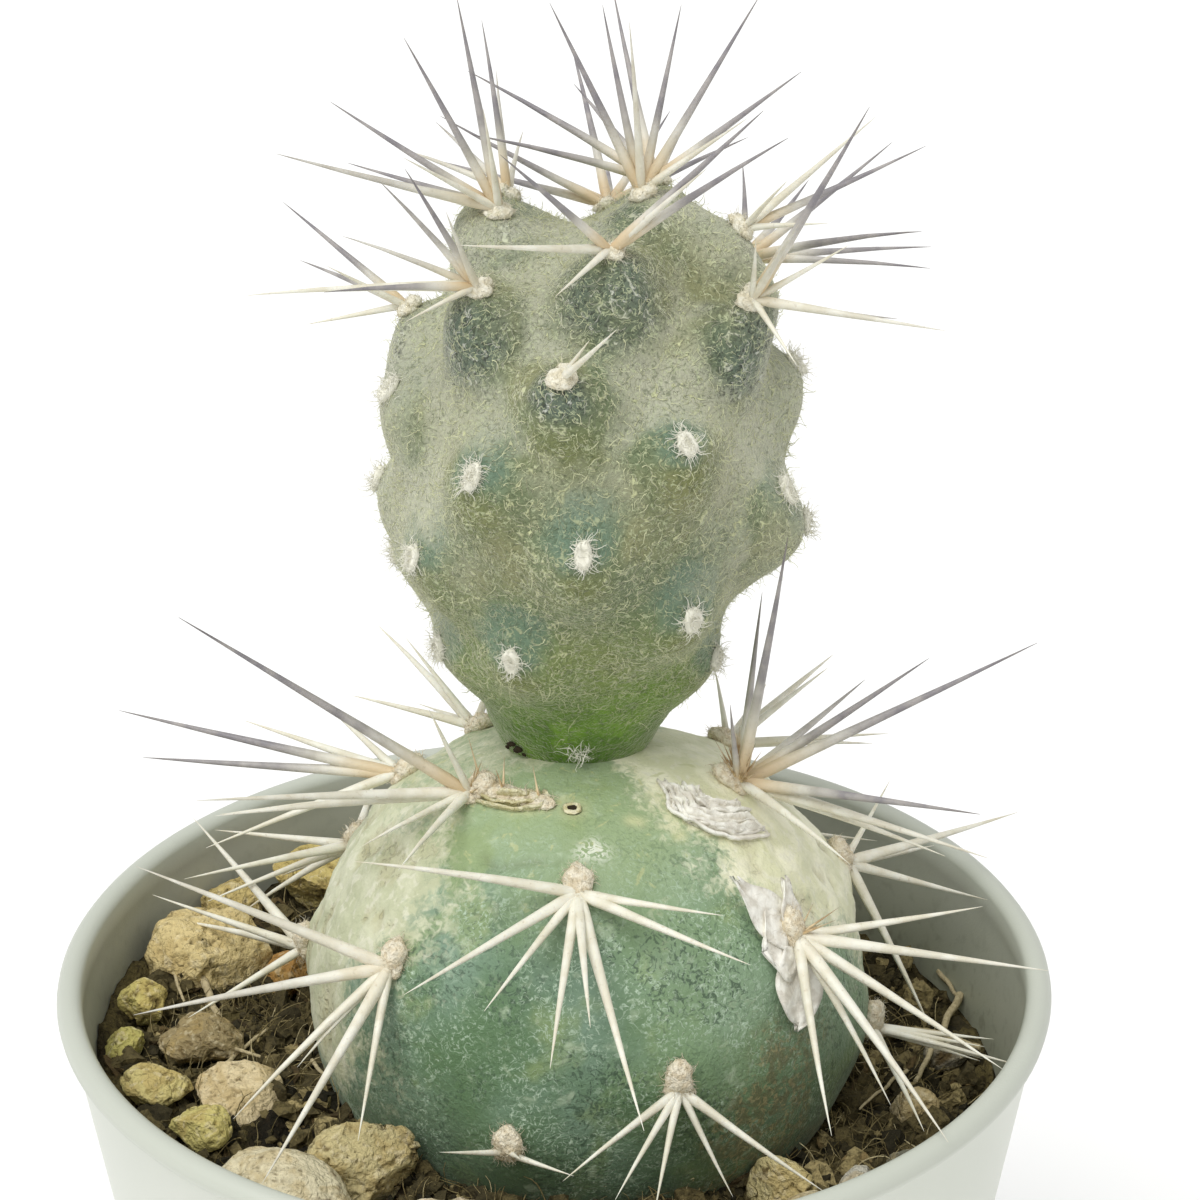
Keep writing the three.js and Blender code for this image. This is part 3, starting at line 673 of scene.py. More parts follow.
def lower_finish():
    made = coated("old_skin", Roughness=0.6, Sheen_Weight=0.25, Sheen_Roughness=0.4,
                  Sheen_Tint=shade(228, 232, 212))
    tree = made.node_tree
    crown, streak, earth = (stored(tree, name) for name in ("crown", "streak", "earth"))
    green = two_tone(tree, grain(tree, 0.11, 0.36, 0.64, 4), (90, 120, 82), (118, 144, 122))
    green = over(tree, green, (158, 176, 132), crown, 0.85)
    green = over(tree, green, (140, 158, 100), grain(tree, 0.16, 0.54, 0.66, 3), 0.55)
    # Painted shade: darker low down, towards the soil
    green = over(tree, green, (80, 104, 72), stored(tree, "low"), 0.65)
    # Painted light: a lighter green on the front right of the shoulder
    green = over(tree, green, (150, 174, 132), stored(tree, "painted_sunlight"), 0.4)
    speckled = sum_of(tree, 1, times(tree, crown, -0.7))
    dark = times(tree, grain(tree, 1.5, 0.5, 0.62, 4, 1.6), grain(tree, 0.14, 0.4, 0.62, 3))
    green = over(tree, green, (56, 78, 58), times(tree, dark, speckled), 0.75)
    flecks = sum_of(tree, threads(tree, 1.15, 0.05), grain(tree, 2.0, 0.58, 0.68, 4, 1.2))
    flecks = times(tree, flecks, grain(tree, 0.17, 0.34, 0.6, 4))
    green = over(tree, green, (180, 200, 176), times(tree, flecks, speckled), 0.7)
    green = over(tree, green, (186, 202, 172), grain(tree, 0.5, 0.6, 0.72, 5, 0.5), 0.5)
    cloudy = grain(tree, 0.3, 0.4, 0.6, 4)
    # Painted light: the pale skin is lighter on the right, where light falls, than on the left
    left = two_tone(tree, cloudy, (206, 208, 178), (188, 192, 158))
    right = two_tone(tree, cloudy, (238, 236, 208), (216, 216, 180))
    pale = mixed(tree, stored(tree, "right"), left, right)
    pale = over(tree, pale, (228, 226, 206), grain(tree, 0.9, 0.54, 0.64, 4, 0.6), 0.5)
    pale = over(tree, pale, (178, 172, 130), streak, 0.5)
    cracks = times(tree, streak, grain(tree, 1.1, 0.54, 0.6, 4, 0.6))
    pale = over(tree, pale, (150, 140, 100), cracks, 0.35)
    edge = sum_of(tree, stored(tree, "bleach"), times(tree, grain(tree, 0.4, 0.3, 0.7, 6), 0.35))
    edge = sum_of(tree, edge, times(tree, grain(tree, 1.4, 0.35, 0.65, 5, 1.0), 0.3))
    skin = mixed(tree, ramp(tree, edge, 0.5, 1.15), green, pale)
    clinging = times(tree, earth, grain(tree, 0.7, 0.4, 0.6, 5, 0.8))
    skin = over(tree, skin, (104, 100, 66), clinging, 0.75)
    scales = times(tree, earth, threads(tree, 0.9, 0.06))
    skin = over(tree, skin, (160, 150, 108), scales, 0.7)
    skin = over(tree, skin, (206, 206, 158), stored(tree, "hem"), 0.7)
    # Painted shade: darker in the crease and in the hole
    skin = over(tree, skin, (92, 92, 62), stored(tree, "crease"), 0.8)
    crust = times(tree, crown, grain(tree, 0.8, 0.62, 0.68, 5, 0.8))
    skin = over(tree, skin, (190, 192, 138), crust, 0.6)
    scab = times(tree, stored(tree, "scab"), grain(tree, 1.6, 0.44, 0.52, 3, 1.5))
    skin = over(tree, skin, (222, 226, 208), scab)
    height = sum_of(tree, times(tree, grain(tree, 2.2, 0.2, 0.8, 4, 0.6), 0.4),
                    times(tree, cracks, -0.8))
    dressed(made, skin, height, 0.16 * MM)
    return made


lower = Stem(np.vstack([
    [(0, LOWER_FOOT)],
    curve((0, LOWER_FOOT), (LOWER_PULL["foot"], LOWER_FOOT),
          (LOWER_RADIUS, LOWER_MIDDLE - LOWER_PULL["below"]), (LOWER_RADIUS, LOWER_MIDDLE)),
    curve((LOWER_RADIUS, LOWER_MIDDLE), (LOWER_RADIUS, LOWER_MIDDLE + LOWER_PULL["above"]),
          (LOWER_PULL["crown"], LOWER_CROWN), (0, LOWER_CROWN)),
]), LOWER_AXIS, LOWER_TUBERCLE)
lower.add_areoles(LOWER_SPIRAL, LOWER_SHIFTS)
lower_skin = lower.grow("lower_skin", lower_finish())
points, height = lower.points, lower.points[:, 2]
# Where its skin changes, by degrees round it from the front to the right, and by height in
# mm, both with an uneven edge
turned = np.degrees(lower.azimuth) + 12 * roughness(points, 9, 2, 3)
level = height + 3 * roughness(points, 7, 6, 3)
left_pale = smooth(-turned, 30, 66) * smooth(level, 61, 69)
right_pale = smooth(turned - 30 * (1 - smooth(height, 74, 84)), 33, 62) * smooth(level, 66, 75)
back_green = smooth(np.abs(turned), 135, 160)
crown = smooth(height + 1.5 * roughness(points, 5, 9), 80, 89)
bleach = np.maximum(left_pale, right_pale) * (1 - back_green)
bleach = np.maximum(bleach, 0.75 * crown * smooth(turned, 10, 60) * (1 - back_green))
cork = smooth(bleach + 0.5 * roughness(points, 6, 3), 0.55, 0.95) * (1 - crown)
ribs = roughness(points * np.array([1, 1, 0.35]), 2.4, 5, 3)
crease = near_line(lower, CREASE, 0.32)
hole = near_line(lower, HOLE, 0.45)
lumps = (0.5 * cork * ribs + 0.1 * cork * roughness(points, 1.6, 7, 2)
         + 0.1 * roughness(points, 5, 8, 2) - 0.35 * crease - 0.4 * hole)
keep_mask(lower_skin.data, "bleach", bleach * (1 - 0.45 * crown * (1 - smooth(turned, 5, 30))))
keep_mask(lower_skin.data, "crown", crown)
# Where the pale skin is painted lighter, as light on the right side
keep_mask(lower_skin.data, "right", smooth(turned, 0, 30))
keep_mask(lower_skin.data, "scab", near_line(lower, SCAB, 0.9))
# Where light is painted on the front right of the shoulder
keep_mask(lower_skin.data, "painted_sunlight", smooth(turned, 2, 24) * smooth(level, 62, 72) * (1 - crown))
keep_mask(lower_skin.data, "streak", cork * smooth(-ribs, 0.12, 0.4))
# Where shade is painted: along the crease and in the hole
keep_mask(lower_skin.data, "crease",
          np.maximum(0.35 * crease * smooth(ribs, -0.5, 0.1), hole))
hem = near_line(lower, HEM, 0.6) * (0.6 + 0.8 * roughness(points, 0.8, 15, 2))
hem = np.max([hem, near_line(lower, HOLE, 1.0)] + [
    near_line(lower, crust, 0.55) for crust in CRUSTS], axis=0)
keep_mask(lower_skin.data, "hem", np.clip(hem, 0, 1) * (1 - hole))
# Painted shade: where the skin is darker towards the soil
keep_mask(lower_skin.data, "low", 1 - smooth(level, 58, 76))
scurf = smooth(-np.abs(turned - 40), -20, -8) * (1 - smooth(level, 69, 74))
keep_mask(lower_skin.data, "earth", np.maximum(scurf, 1 - smooth(height, 58.5, 62)))
reshaped(lower_skin, points + lower.out * np.expand_dims(lumps, -1))
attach(lower_skin, "root")
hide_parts("lower_segment")

# ---- Soil ---------------------------------------------------------------------------
# A dark peaty potting mix that fills the pot up to 10 mm below its rim, dished under the
# plant. Its surface is loose: black crumbs, grit, bits of bark and fine dry roots.
SOIL_LEVEL = 59.5
SOIL_SLOPE = -0.075  # its rise to the right
SOIL_LUMP = 0.54
SOIL_RINGS = 96
SOIL_SIDES = 240
GAP = 0.3  # between the mix and the floor
WALL_GAP = 0.05
BRINK_DROP = 2.5  # from its level to the even part of its side
# Where loose bits begin, and where they lie as close as elsewhere: from the plant's axis,
# from the wall, and from the wall for fibres, which would come through it
PLANT_EDGE = (21.5, 22.6)
WALL_EDGE = (1.5, 2.3)
FIBRE_EDGE = (4.4, 5.2)
BLACK_PATCH = {"middle": (-21.5, -14.5), "size": 6.0}  # wet peat at the front left
DRY_ROOTS = {  # radius, and places that it runs through
    "pale": (0.34, [(-32.3, 9.5, 62.8), (-30.5, 4.8, 62.3), (-28.4, -2.3, 62.8)]),
    "long": (0.2, [(-32.2, -0.4, 62.6), (-28.3, -3.7, 62.5), (-25.1, -4.2, 61.9)]),
    "branch": (0.16, [(-31.7, -0.7, 62.5), (-29.4, -1.6, 62.7), (-27.5, -3.7, 62.2)]),
    "short": (0.18, [(-28.2, -5.7, 61.7), (-25.0, -0.3, 62.1)]),
    "straw": (0.42, [(26.9, 4.6, 58.4), (32.5, 6.8, 57.6), (37.4, 3.8, 58.0)]),
    "twig": (0.3, [(36.6, 12.7, 57.6), (31.2, -2.7, 58.2)]),
    "thin": (0.15, [(30.5, -1.0, 58.3), (28.1, -3.8, 58.2), (26.1, -7.2, 58.4)]),
    "front": (0.15, [(-21.0, -4.7, 61.6), (-17.7, -9.6, 61.2)]),
    "back": (0.16, [(-34.5, 8.9, 63.0), (-32.6, 4.1, 62.3)]),
    "edge": (0.22, [(35.0, 17.0, 57.6), (36.4, 12.2, 57.7)]),
}
ROOT_STEPS = 14
ROOT_LIFT = 0.9  # so that it lies on the crumbs


def wall_at(height):
    """The radius of the pot's inside, in mm."""
    return inner_radius(height * MM) / MM


def soil_height(x, y):
    """The height of the mix before it is made loose, in mm."""
    lumps = np.sin(x * 0.42 + 1) * np.cos(y * 0.37) + 0.5 * np.sin(x * 0.9 - y * 0.8)
    return SOIL_LEVEL + SOIL_SLOPE * x + SOIL_LUMP * lumps


def strewing_tree():
    """Copies of a small shape, strewn over a surface by its mask named room."""
    tree, given, result = new_group(
        "strewing", "GeometryNodeTree",
        [("Surface", "Geometry", None), ("Shape", "Object", None),
         ("Per square mm", "Float", 1.0), ("Least", "Float", 0.5), ("Most", "Float", 1.0),
         ("Tilt", "Float", 0.5), ("Sink", "Float", 0.0), ("Seed", "Int", 1),
         ("Finish", "Material", None)],
        [("Geometry", "Geometry")])
    seed, tilt = given.outputs["Seed"], given.outputs["Tilt"]
    per_metre = times(tree, given.outputs["Per square mm"], 1 / MM ** 2)
    spots = add(tree, "GeometryNodeDistributePointsOnFaces", {
        "Mesh": given.outputs["Surface"], "Seed": seed,
        "Density": times(tree, per_metre, kept_value(tree, "room"))})
    tone = add(tree, "FunctionNodeRandomValue", {"Seed": seed}, data_type="FLOAT")
    toned = with_value(tree, spots.outputs["Points"], "tone", tone.outputs[1])
    least = add(tree, "ShaderNodeCombineXYZ", {
        "X": times(tree, tilt, -1), "Y": times(tree, tilt, -1)})
    most = add(tree, "ShaderNodeCombineXYZ", {"X": tilt, "Y": tilt, "Z": 2 * math.pi})
    turn = add(tree, "FunctionNodeRandomValue", {
        0: least.outputs[0], 1: most.outputs[0], "Seed": seed}, data_type="FLOAT_VECTOR")
    turned = add(tree, "FunctionNodeRotateRotation", {
        "Rotation": spots.outputs["Rotation"],
        "Rotate By": add(tree, "FunctionNodeEulerToRotation", {
            "Euler": turn.outputs[0]}).outputs["Rotation"]}, rotation_space="LOCAL")
    size = add(tree, "FunctionNodeRandomValue", {
        2: given.outputs["Least"], 3: given.outputs["Most"], "Seed": sum_of(tree, seed, 5)},
        data_type="FLOAT")
    shape = add(tree, "GeometryNodeObjectInfo", {"Object": given.outputs["Shape"]})
    strewn = add(tree, "GeometryNodeInstanceOnPoints", {
        "Points": toned, "Instance": shape.outputs["Geometry"],
        "Rotation": turned.outputs["Rotation"], "Scale": size.outputs[1]})
    sunk = add(tree, "GeometryNodeTranslateInstances", {
        "Instances": strewn.outputs["Instances"],
        "Translation": add(tree, "ShaderNodeCombineXYZ", {
            "Z": times(tree, given.outputs["Sink"], -MM)}).outputs[0]})
    end_in_finish(tree, given, result, sunk.outputs["Instances"])
    return tree


def drawing_tree():
    """Round rods along chains of edges, each as thick as its points' width says."""
    tree, given, result = new_group(
        "drawing_out", "GeometryNodeTree",
        [("Paths", "Geometry", None), ("Steps", "Int", 12), ("Sides", "Int", 8),
         ("Finish", "Material", None)],
        [("Geometry", "Geometry")])
    paths = add(tree, "GeometryNodeMeshToCurve", {"Mesh": given.outputs["Paths"]})
    even = add(tree, "GeometryNodeResampleCurve", {
        "Curve": paths.outputs["Curve"], "Count": given.outputs["Steps"]})
    section = add(tree, "GeometryNodeCurvePrimitiveCircle", {
        "Resolution": given.outputs["Sides"], "Radius": 1.0})
    rods = add(tree, "GeometryNodeCurveToMesh", {
        "Curve": even.outputs["Curve"], "Profile Curve": section.outputs["Curve"],
        "Scale": kept_value(tree, "width"), "Fill Caps": True})
    end_in_finish(tree, given, result, rods.outputs["Mesh"])
    return tree


STREWING = strewing_tree()
DRAWING = drawing_tree()


def drawn_out(name, paths, steps, sides, material):
    """Rods along paths of (point, width, other marks) in mm, as one object."""
    places, edges, marks = [], [], {}
    for path in paths:
        for number, (point, values) in enumerate(path):
            if number:
                edges.append((len(places) - 1, len(places)))
            places.append(tuple(np.asarray(point) * MM))
            for key, value in values.items():
                marks.setdefault(key, []).append(value)
    mesh = bpy.data.meshes.new(name)
    mesh.from_pydata(places, edges, [])
    for key, values in marks.items():
        keep_mask(mesh, key, np.array(values) * (MM if key == "width" else 1))
    piece = grown(name, mesh, DRAWING, {"Steps": steps, "Sides": sides, "Finish": material})
    piece.data.shade_smooth()
    return piece


def lump(name, halvings, rough, seed, flatness=1.0):
    """A small uneven grain 1 mm across, at the origin, to be strewn."""
    made = bmesh.new()
    bmesh.ops.create_icosphere(made, subdivisions=halvings, radius=0.5 * MM)
    for vertex in made.verts:
        place = vertex.co / MM
        vertex.co *= 1 + rough * noise.noise(place * 2.6 + Vector((seed, 0, seed)))
        vertex.co.z *= flatness
    mesh = bpy.data.meshes.new(name)
    made.to_mesh(mesh)
    made.free()
    return bpy.data.objects.new(name, mesh)


def curl(name, length, radius, bend, steps=4, sides=3):
    """A bent strand that stands up from the origin, to be strewn."""
    rings, faces = [], []
    for step in range(steps + 1):
        share = step / steps
        x = bend * math.sin(share * 2.6)
        y = bend * (math.sin(share * 3.9 + 1) - math.sin(1))
        thin = radius * (1 - 0.7 * share)
        for side in range(sides):
            angle = 2 * math.pi * side / sides
            rings.append((x + thin * math.cos(angle), y + thin * math.sin(angle),
                          length * share))
    for step in range(steps):
        for side in range(sides):
            low, after = step * sides + side, step * sides + (side + 1) % sides
            faces.append((low, after, after + sides, low + sides))
    mesh = bpy.data.meshes.new(name)
    mesh.from_pydata([tuple(c * MM for c in p) for p in rings], [], faces)
    mesh.shade_smooth()
    return bpy.data.objects.new(name, mesh)


def peat():
    made = coated("peat", Roughness=0.95, Specular_IOR_Level=0.15)
    tree = made.node_tree
    body = two_tone(tree, stored(tree, "moist"), (102, 92, 58), (36, 33, 24))
    body = over(tree, body, (56, 48, 34), grain(tree, 1.3, 0.5, 0.64, 5, 1), 0.7)
    dressed(made, body, grain(tree, 1.6, 0.2, 0.8, 6, 0.6), 0.6 * MM)
    return made


def crumbs_finish(name, dark, middle, light):
    """A finish from dark to middle by each crumb's tone. A few crumbs are light."""
    made = coated(name, Roughness=0.93, Specular_IOR_Level=0.2)
    tree = made.node_tree
    tone = stored(tree, "tone")
    body = two_tone(tree, tone, dark, middle)
    body = over(tree, body, light, ramp(tree, tone, 0.86, 0.93, "LINEAR"))
    body = over(tree, body, dark, grain(tree, 2.2, 0.45, 0.65, 4), 0.5)
    dressed(made, body, grain(tree, 3.5, 0.2, 0.8, 4), 0.12 * MM)
    return made


def soil_points():
    """The filling's closed surface: a fine grid on top, then down the wall and under."""
    points, faces = [(0, 0, SOIL_LEVEL)], []
    sides = np.arange(SOIL_SIDES) * 2 * math.pi / SOIL_SIDES
    edge = wall_at(SOIL_LEVEL) - WALL_GAP
    for ring in range(1, SOIL_RINGS + 1):
        share = ring / SOIL_RINGS
        x, y = edge * share * np.cos(sides), edge * share * np.sin(sides)
        height = soil_height(x, y)
        shrink = (wall_at(height) - WALL_GAP) / edge
        points += zip(x * shrink, y * shrink, height)
    for side in range(SOIL_SIDES):
        after = (side + 1) % SOIL_SIDES
        faces.append((0, 1 + side, 1 + after))
        for ring in range(SOIL_RINGS - 1):
            low = 1 + ring * SOIL_SIDES
            high = low + SOIL_SIDES
            faces.append((low + side, high + side, high + after, low + after))
    points = np.array(points)
    plant = np.hypot(points[:, 0] - LOWER_AXIS["x"], points[:, 1])
    half = lower.outline[lower.outline[:, 1] < LOWER_MIDDLE]
    dish = np.interp(plant, half[:, 0], half[:, 1], right=LOWER_CROWN)
    bare = np.ones(len(points))  # 0 under a stone, where the mix is pressed down
    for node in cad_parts:
        if node.startswith("stone_"):
            low, high = (np.array(corner[:2]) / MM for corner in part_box(node))
            reach = (points[:, :2] - (low + high) / 2) / (high - low) * 2
            bare = np.minimum(bare, smooth(np.linalg.norm(reach, axis=1), 0.7, 1.0))
    loose = 1.3 * roughness(points, 3.2, 12, 4) + 0.45 * roughness(points, 0.9, 13, 3)
    loose = loose * (0.2 + 0.8 * bare) - 1.5 * (1 - bare)
    points[:, 2] = np.minimum(points[:, 2] + loose, dish + 0.12)
    to_wall = edge - np.hypot(points[:, 0], points[:, 1])
    room = smooth(plant, *PLANT_EDGE) * smooth(to_wall, *WALL_EDGE) * bare
    bottom, brink = FLOOR / MM + GAP, SOIL_LEVEL - BRINK_DROP
    walls = []
    for share in (1.0, 0.6, 0.3, 0.0):
        height = bottom + (brink - bottom) * share
        radius = wall_at(height) - (WALL_GAP if share else 1.0)
        walls += [(radius * math.cos(a), radius * math.sin(a), height) for a in sides]
    first, last = len(points) - SOIL_SIDES, len(points) + len(walls) - SOIL_SIDES
    for low in range(first, last, SOIL_SIDES):
        for side in range(SOIL_SIDES):
            after = (side + 1) % SOIL_SIDES
            high = low + SOIL_SIDES
            faces.append((low + side, high + side, high + after, low + after))
    walls.append((0, 0, bottom))
    centre = last + SOIL_SIDES
    faces += [(centre, last + (side + 1) % SOIL_SIDES, last + side)
              for side in range(SOIL_SIDES)]
    return np.vstack([points, walls]), faces, np.concatenate([room, np.zeros(len(walls))])


points, faces, room = soil_points()
mix = from_faces("potting_mix", points * MM, faces, peat())
to_wall = wall_at(SOIL_LEVEL) - np.hypot(points[:, 0], points[:, 1])
wet = BLACK_PATCH["size"] - np.hypot(*(points[:, :2] - BLACK_PATCH["middle"]).T)
wet = smooth(wet, 0, 3)
moist = smooth(roughness(points, 9, 21, 2), -0.1, 0.35) * 0.7
room = room * (1 - 0.75 * wet)
keep_mask(mix.data, "moist", np.maximum(wet, moist))
mix.data.shade_smooth()
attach(mix, "root")
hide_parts("soil")

crumbs = crumbs_finish("crumbs", (40, 37, 26), (118, 106, 70), (172, 156, 110))
bark = crumbs_finish("bark", (52, 44, 30), (116, 98, 64), (150, 130, 88))
roots = crumbs_finish("dry_roots", (104, 92, 58), (186, 170, 122), (214, 200, 156))
for name, shape, density, least, most, tilt, coat in (
        ("grit", lump("grain_shape", 1, 0.6, 1), 1.9, 0.35, 1.0, 3.1, crumbs),
        ("clods", lump("clod_shape", 2, 1.1, 5, 0.8), 0.3, 1.0, 3.0, 3.1, crumbs),
        ("chips", lump("chip_shape", 2, 0.9, 9, 0.35), 0.1, 1.4, 3.2, 0.7, bark),
        ("fibres", curl("fibre_shape", 3.0, 0.08, 0.6, 6), 0.9, 0.4, 1.4, 1.4, roots)):
    bed = mix.data.copy()
    inner = smooth(to_wall, *FIBRE_EDGE) if name == "fibres" else 1
    keep_mask(bed, "room", room * inner)
    strewn = grown(name, bed, STREWING, {
        "Shape": shape, "Per square mm": density, "Least": least, "Most": most,
        "Tilt": tilt, "Sink": 0.1, "Seed": 11, "Finish": coat})
    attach(strewn, "root")

paths = []
for width, route in DRY_ROOTS.values():
    bent = np.array([np.array(point) + 0.35 * np.array([
        math.sin(3 * number), math.cos(2 * number), 0]) for number, point in enumerate(route)])
    fine = np.linspace(0, len(bent) - 1, ROOT_STEPS)
    line = np.stack([np.interp(fine, range(len(bent)), bent[:, k]) for k in range(3)], 1)
    line = line + 0.3 * np.stack([roughness(line, 2.0, k + 30) for k in range(3)], 1)
    paths.append([
        (point + (0, 0, ROOT_LIFT),
         {"width": width * (1.3 - 0.6 * step / (ROOT_STEPS - 1)), "tone": 0.75})
        for step, point in enumerate(line)])
straw = crumbs_finish("straw", (146, 132, 98), (204, 190, 152), (226, 218, 190))
straws = drawn_out("dry_root_bits", paths, 16, 7, straw)
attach(straws, "root")

# ---- Stones -------------------------------------------------------------------------
# A top dressing of broken pumice and ochre gravel, each lump loose and pressed a little
# into the soil. Most are rough, pitted and cracked, and a few are worn smooth.
STONES = {  # colour, roughness of its surface from 0 to 1
    "ochre_back": ((206, 188, 120), 0.8), "behind": ((188, 168, 108), 0.7),
    "small_back": ((206, 186, 124), 0.6), "big_tan": ((222, 202, 146), 0.7),
    "orange": ((186, 142, 80), 0.4), "yellow": ((204, 192, 118), 0.9),
    "yellow_low": ((190, 182, 108), 0.9), "grey_brown": ((158, 142, 104), 0.7),
    "cracked": ((208, 194, 130), 1.0), "flat": ((224, 206, 164), 0.5),
    "yellow_front": ((206, 194, 122), 0.8), "cream_smooth": ((224, 214, 180), 0.1),
    "porous": ((206, 192, 142), 1.0), "pinkish_rough": ((220, 206, 178), 0.8),
    "pinkish_front": ((208, 196, 170), 0.7), "ochre_right": ((212, 198, 144), 0.7),
    "tan_smooth": ((214, 200, 164), 0.2), "grey_white": ((200, 196, 180), 0.5),
    "dark": ((118, 116, 100), 0.6), "right": ((196, 180, 140), 0.5),
    "right_edge": ((128, 122, 104), 0.6), "back_right": ((224, 212, 176), 0.5),
    "back": ((208, 190, 132), 0.8),
}
SMOOTH_STONE = 0.3  # roughness below which a stone is worn round
FLATS = 11  # broken faces of a rough stone
LARGER = {"big_tan": 1.18, "cream_smooth": 1.3, "porous": 1.22, "flat": 1.15, "behind": 1.15}
STONE_GROWTH = 1.24  # to make up for what its flats take off
SMOOTH_GROWTH = 1.05


def weathering_tree():
    """A coarse lump made fine, dented, and pitted by noise."""
    tree, given, result = new_group(
        "weathering", "GeometryNodeTree",
        [("Lump", "Geometry", None), ("Dents", "Float", 0.3), ("Pits", "Float", 0.2),
         ("Seed", "Float", 0.0), ("Finish", "Material", None)],
        [("Geometry", "Geometry")])
    fine = add(tree, "GeometryNodeSubdivideMesh", {"Mesh": given.outputs["Lump"], "Level": 2})
    shift = add(tree, "ShaderNodeCombineXYZ", {"X": given.outputs["Seed"]})
    place = scaled(tree, add(tree, "GeometryNodeInputPosition").outputs[0], 1 / MM)
    place = add(tree, "ShaderNodeVectorMath", {0: place, 1: shift.outputs[0]}).outputs[0]
    dents = add(tree, "ShaderNodeTexNoise", {
        "Vector": place, "Scale": 0.5, "Detail": 3.0, "Roughness": 0.5})
    dent = times(tree, sum_of(tree, dents.outputs["Fac"], -0.5), 4)
    cracks = add(tree, "ShaderNodeTexNoise", {
        "Vector": place, "Scale": 0.75, "Detail": 5.0, "Roughness": 0.6, "Distortion": 1.2})
    pit = ramp(tree, cracks.outputs["Fac"], 0.46, 0.36)
    rise = worked(tree, "SUBTRACT", times(tree, dent, given.outputs["Dents"]),
                  times(tree, pit, given.outputs["Pits"]))
    moved = add(tree, "GeometryNodeSetPosition", {
        "Geometry": fine.outputs["Mesh"],
        "Offset": scaled(tree, add(tree, "GeometryNodeInputNormal").outputs[0],
                         times(tree, rise, MM))})
    # The pits are kept so that the finish can paint shade in them
    end_in_finish(tree, given, result, with_value(tree, moved.outputs["Geometry"], "pit", pit))
    return tree


def stone_finish():
    made = coated("gravel", Roughness=0.88, Specular_IOR_Level=0.25)
    tree = made.node_tree
    body = add(tree, "ShaderNodeAttribute", attribute_name="stone_colour").outputs["Color"]
    body = over(tree, body, (178, 152, 92), grain(tree, 0.35, 0.46, 0.62, 4, 0.8), 0.45)
    body = over(tree, body, (232, 220, 184), grain(tree, 1.2, 0.54, 0.66, 4, 0.5), 0.4)
    # Painted shade in the pits and cracks
    body = over(tree, body, (98, 80, 44), stored(tree, "pit"), 0.85)
    body = over(tree, body, (96, 84, 54), grain(tree, 3.2, 0.62, 0.7, 3), 0.5)
    dressed(made, body, grain(tree, 2.2, 0.2, 0.8, 6, 0.4), 0.25 * MM)
    return made


def broken(name, number, rough):
    """A packed stone, rounded off or broken along flats, a little larger. One mesh."""
    made = bmesh.new()
    made.from_mesh(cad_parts["stone_" + name].data)
    bmesh.ops.remove_doubles(made, verts=made.verts, dist=0.01 * MM)
    bmesh.ops.subdivide_edges(made, edges=made.edges, cuts=1, use_grid_fill=True, smooth=1.0)
    place = np.array([vertex.co for vertex in made.verts])
    middle = (place.max(0) + place.min(0)) / 2
    half = (place.max(0) - place.min(0)) / 2
    unit = (place - middle) / half
    draw = np.random.default_rng(number)
    for _ in range(FLATS if rough > SMOOTH_STONE else 0):
        way = draw.normal(size=3)
        way /= np.linalg.norm(way)
        excess = np.maximum(unit @ way - draw.uniform(0.5, 0.82), 0)
        unit = unit - np.outer(excess, way)
    growth = (STONE_GROWTH if rough > SMOOTH_STONE else SMOOTH_GROWTH) * LARGER.get(name, 1)
    for vertex, share in zip(made.verts, unit):
        vertex.co = middle + half * growth * share + (0, 0, 0.12 * half[2])
    mesh = bpy.data.meshes.new("gravel_" + name)
    made.to_mesh(mesh)
    made.free()
    return mesh, 2 * half.max() / MM


WEATHERING = weathering_tree()
gravel = stone_finish()
for number, (name, (colour, rough)) in enumerate(STONES.items()):
    mesh, size = broken(name, number, rough)
    stone = grown("gravel_" + name, mesh, WEATHERING, {
        "Dents": (0.02 + 0.02 * rough) * size, "Pits": 0.6 * rough * size / 8,
        "Seed": 10.0 * number, "Finish": gravel})
    layer = stone.data.attributes.new("stone_colour", "FLOAT_COLOR", "POINT")
    layer.data.foreach_set("color", shade(*colour) * len(stone.data.vertices))
    stone.data.shade_smooth()
    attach(stone, "root")
    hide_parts("stone_" + name)

# ---- Upper segment ------------------------------------------------------------------
# The young egg-shaped joint, with a big blunt knob under each areole near its top and low
# domes further down. Its skin is velvety, grey-green above and fresh green at its foot.
UPPER_FOOT = 88.0
UPPER_CROWN = 133.9
UPPER_MIDDLE = 112.4
UPPER_RADIUS = 15.3
UPPER_FOOT_RADIUS = 4.0
UPPER_NECK = (7.6, UPPER_FOOT + 3.8)  # radius and height, where its foot ends
# What its outline's curves head for: a radius and a height in the foot, into the neck and
# out of it, and then how far they run on below and above its middle and at its crown
UPPER_PULL = {"foot": (7.0, UPPER_FOOT + 0.7), "into": (6.6, UPPER_FOOT + 1.9),
              "out of": (9.1, UPPER_FOOT + 10.1), "below": 5.9, "above": 12.4, "crown": 7.2}
UPPER_AXIS = {"x": 1.8, "y": 4.5, "lean": 0.045}
UPPER_TUBERCLE = {"height": (2.05, 4.2), "Side": 4.0, "Above": 3.3, "Below": 4.8,
                  "drop": (1.6, 1.5)}
UPPER_SPIRAL = {"first": -12, "last": 24, "along": 0.535, "step": 0.0168}
UPPER_SHIFTS = {
    -11: (11, -0.03), -10: (1, -0.07), -8: (-2, -0.045), -6: (9, -0.02), -5: (3, -0.03),
    -3: (-1, 0), -2: (-7, 0), 0: (1, 0), 2: (-3, -0.042), 3: (16, -0.03), 5: (2, 0),
    6: (22, 0), 8: (8, -0.005), 10: (-9, -0.035), 11: (22, -0.045), 13: (5, -0.01),
    15: (0, -0.05), 16: (21, -0.01), 18: (-3, -0.015), 19: (-7, 0), 21: (1, 0),
    23: (-14, -0.025), 24: (19, 0.02),
}
FIRST_SPINED = 13  # areoles from here up bear spines


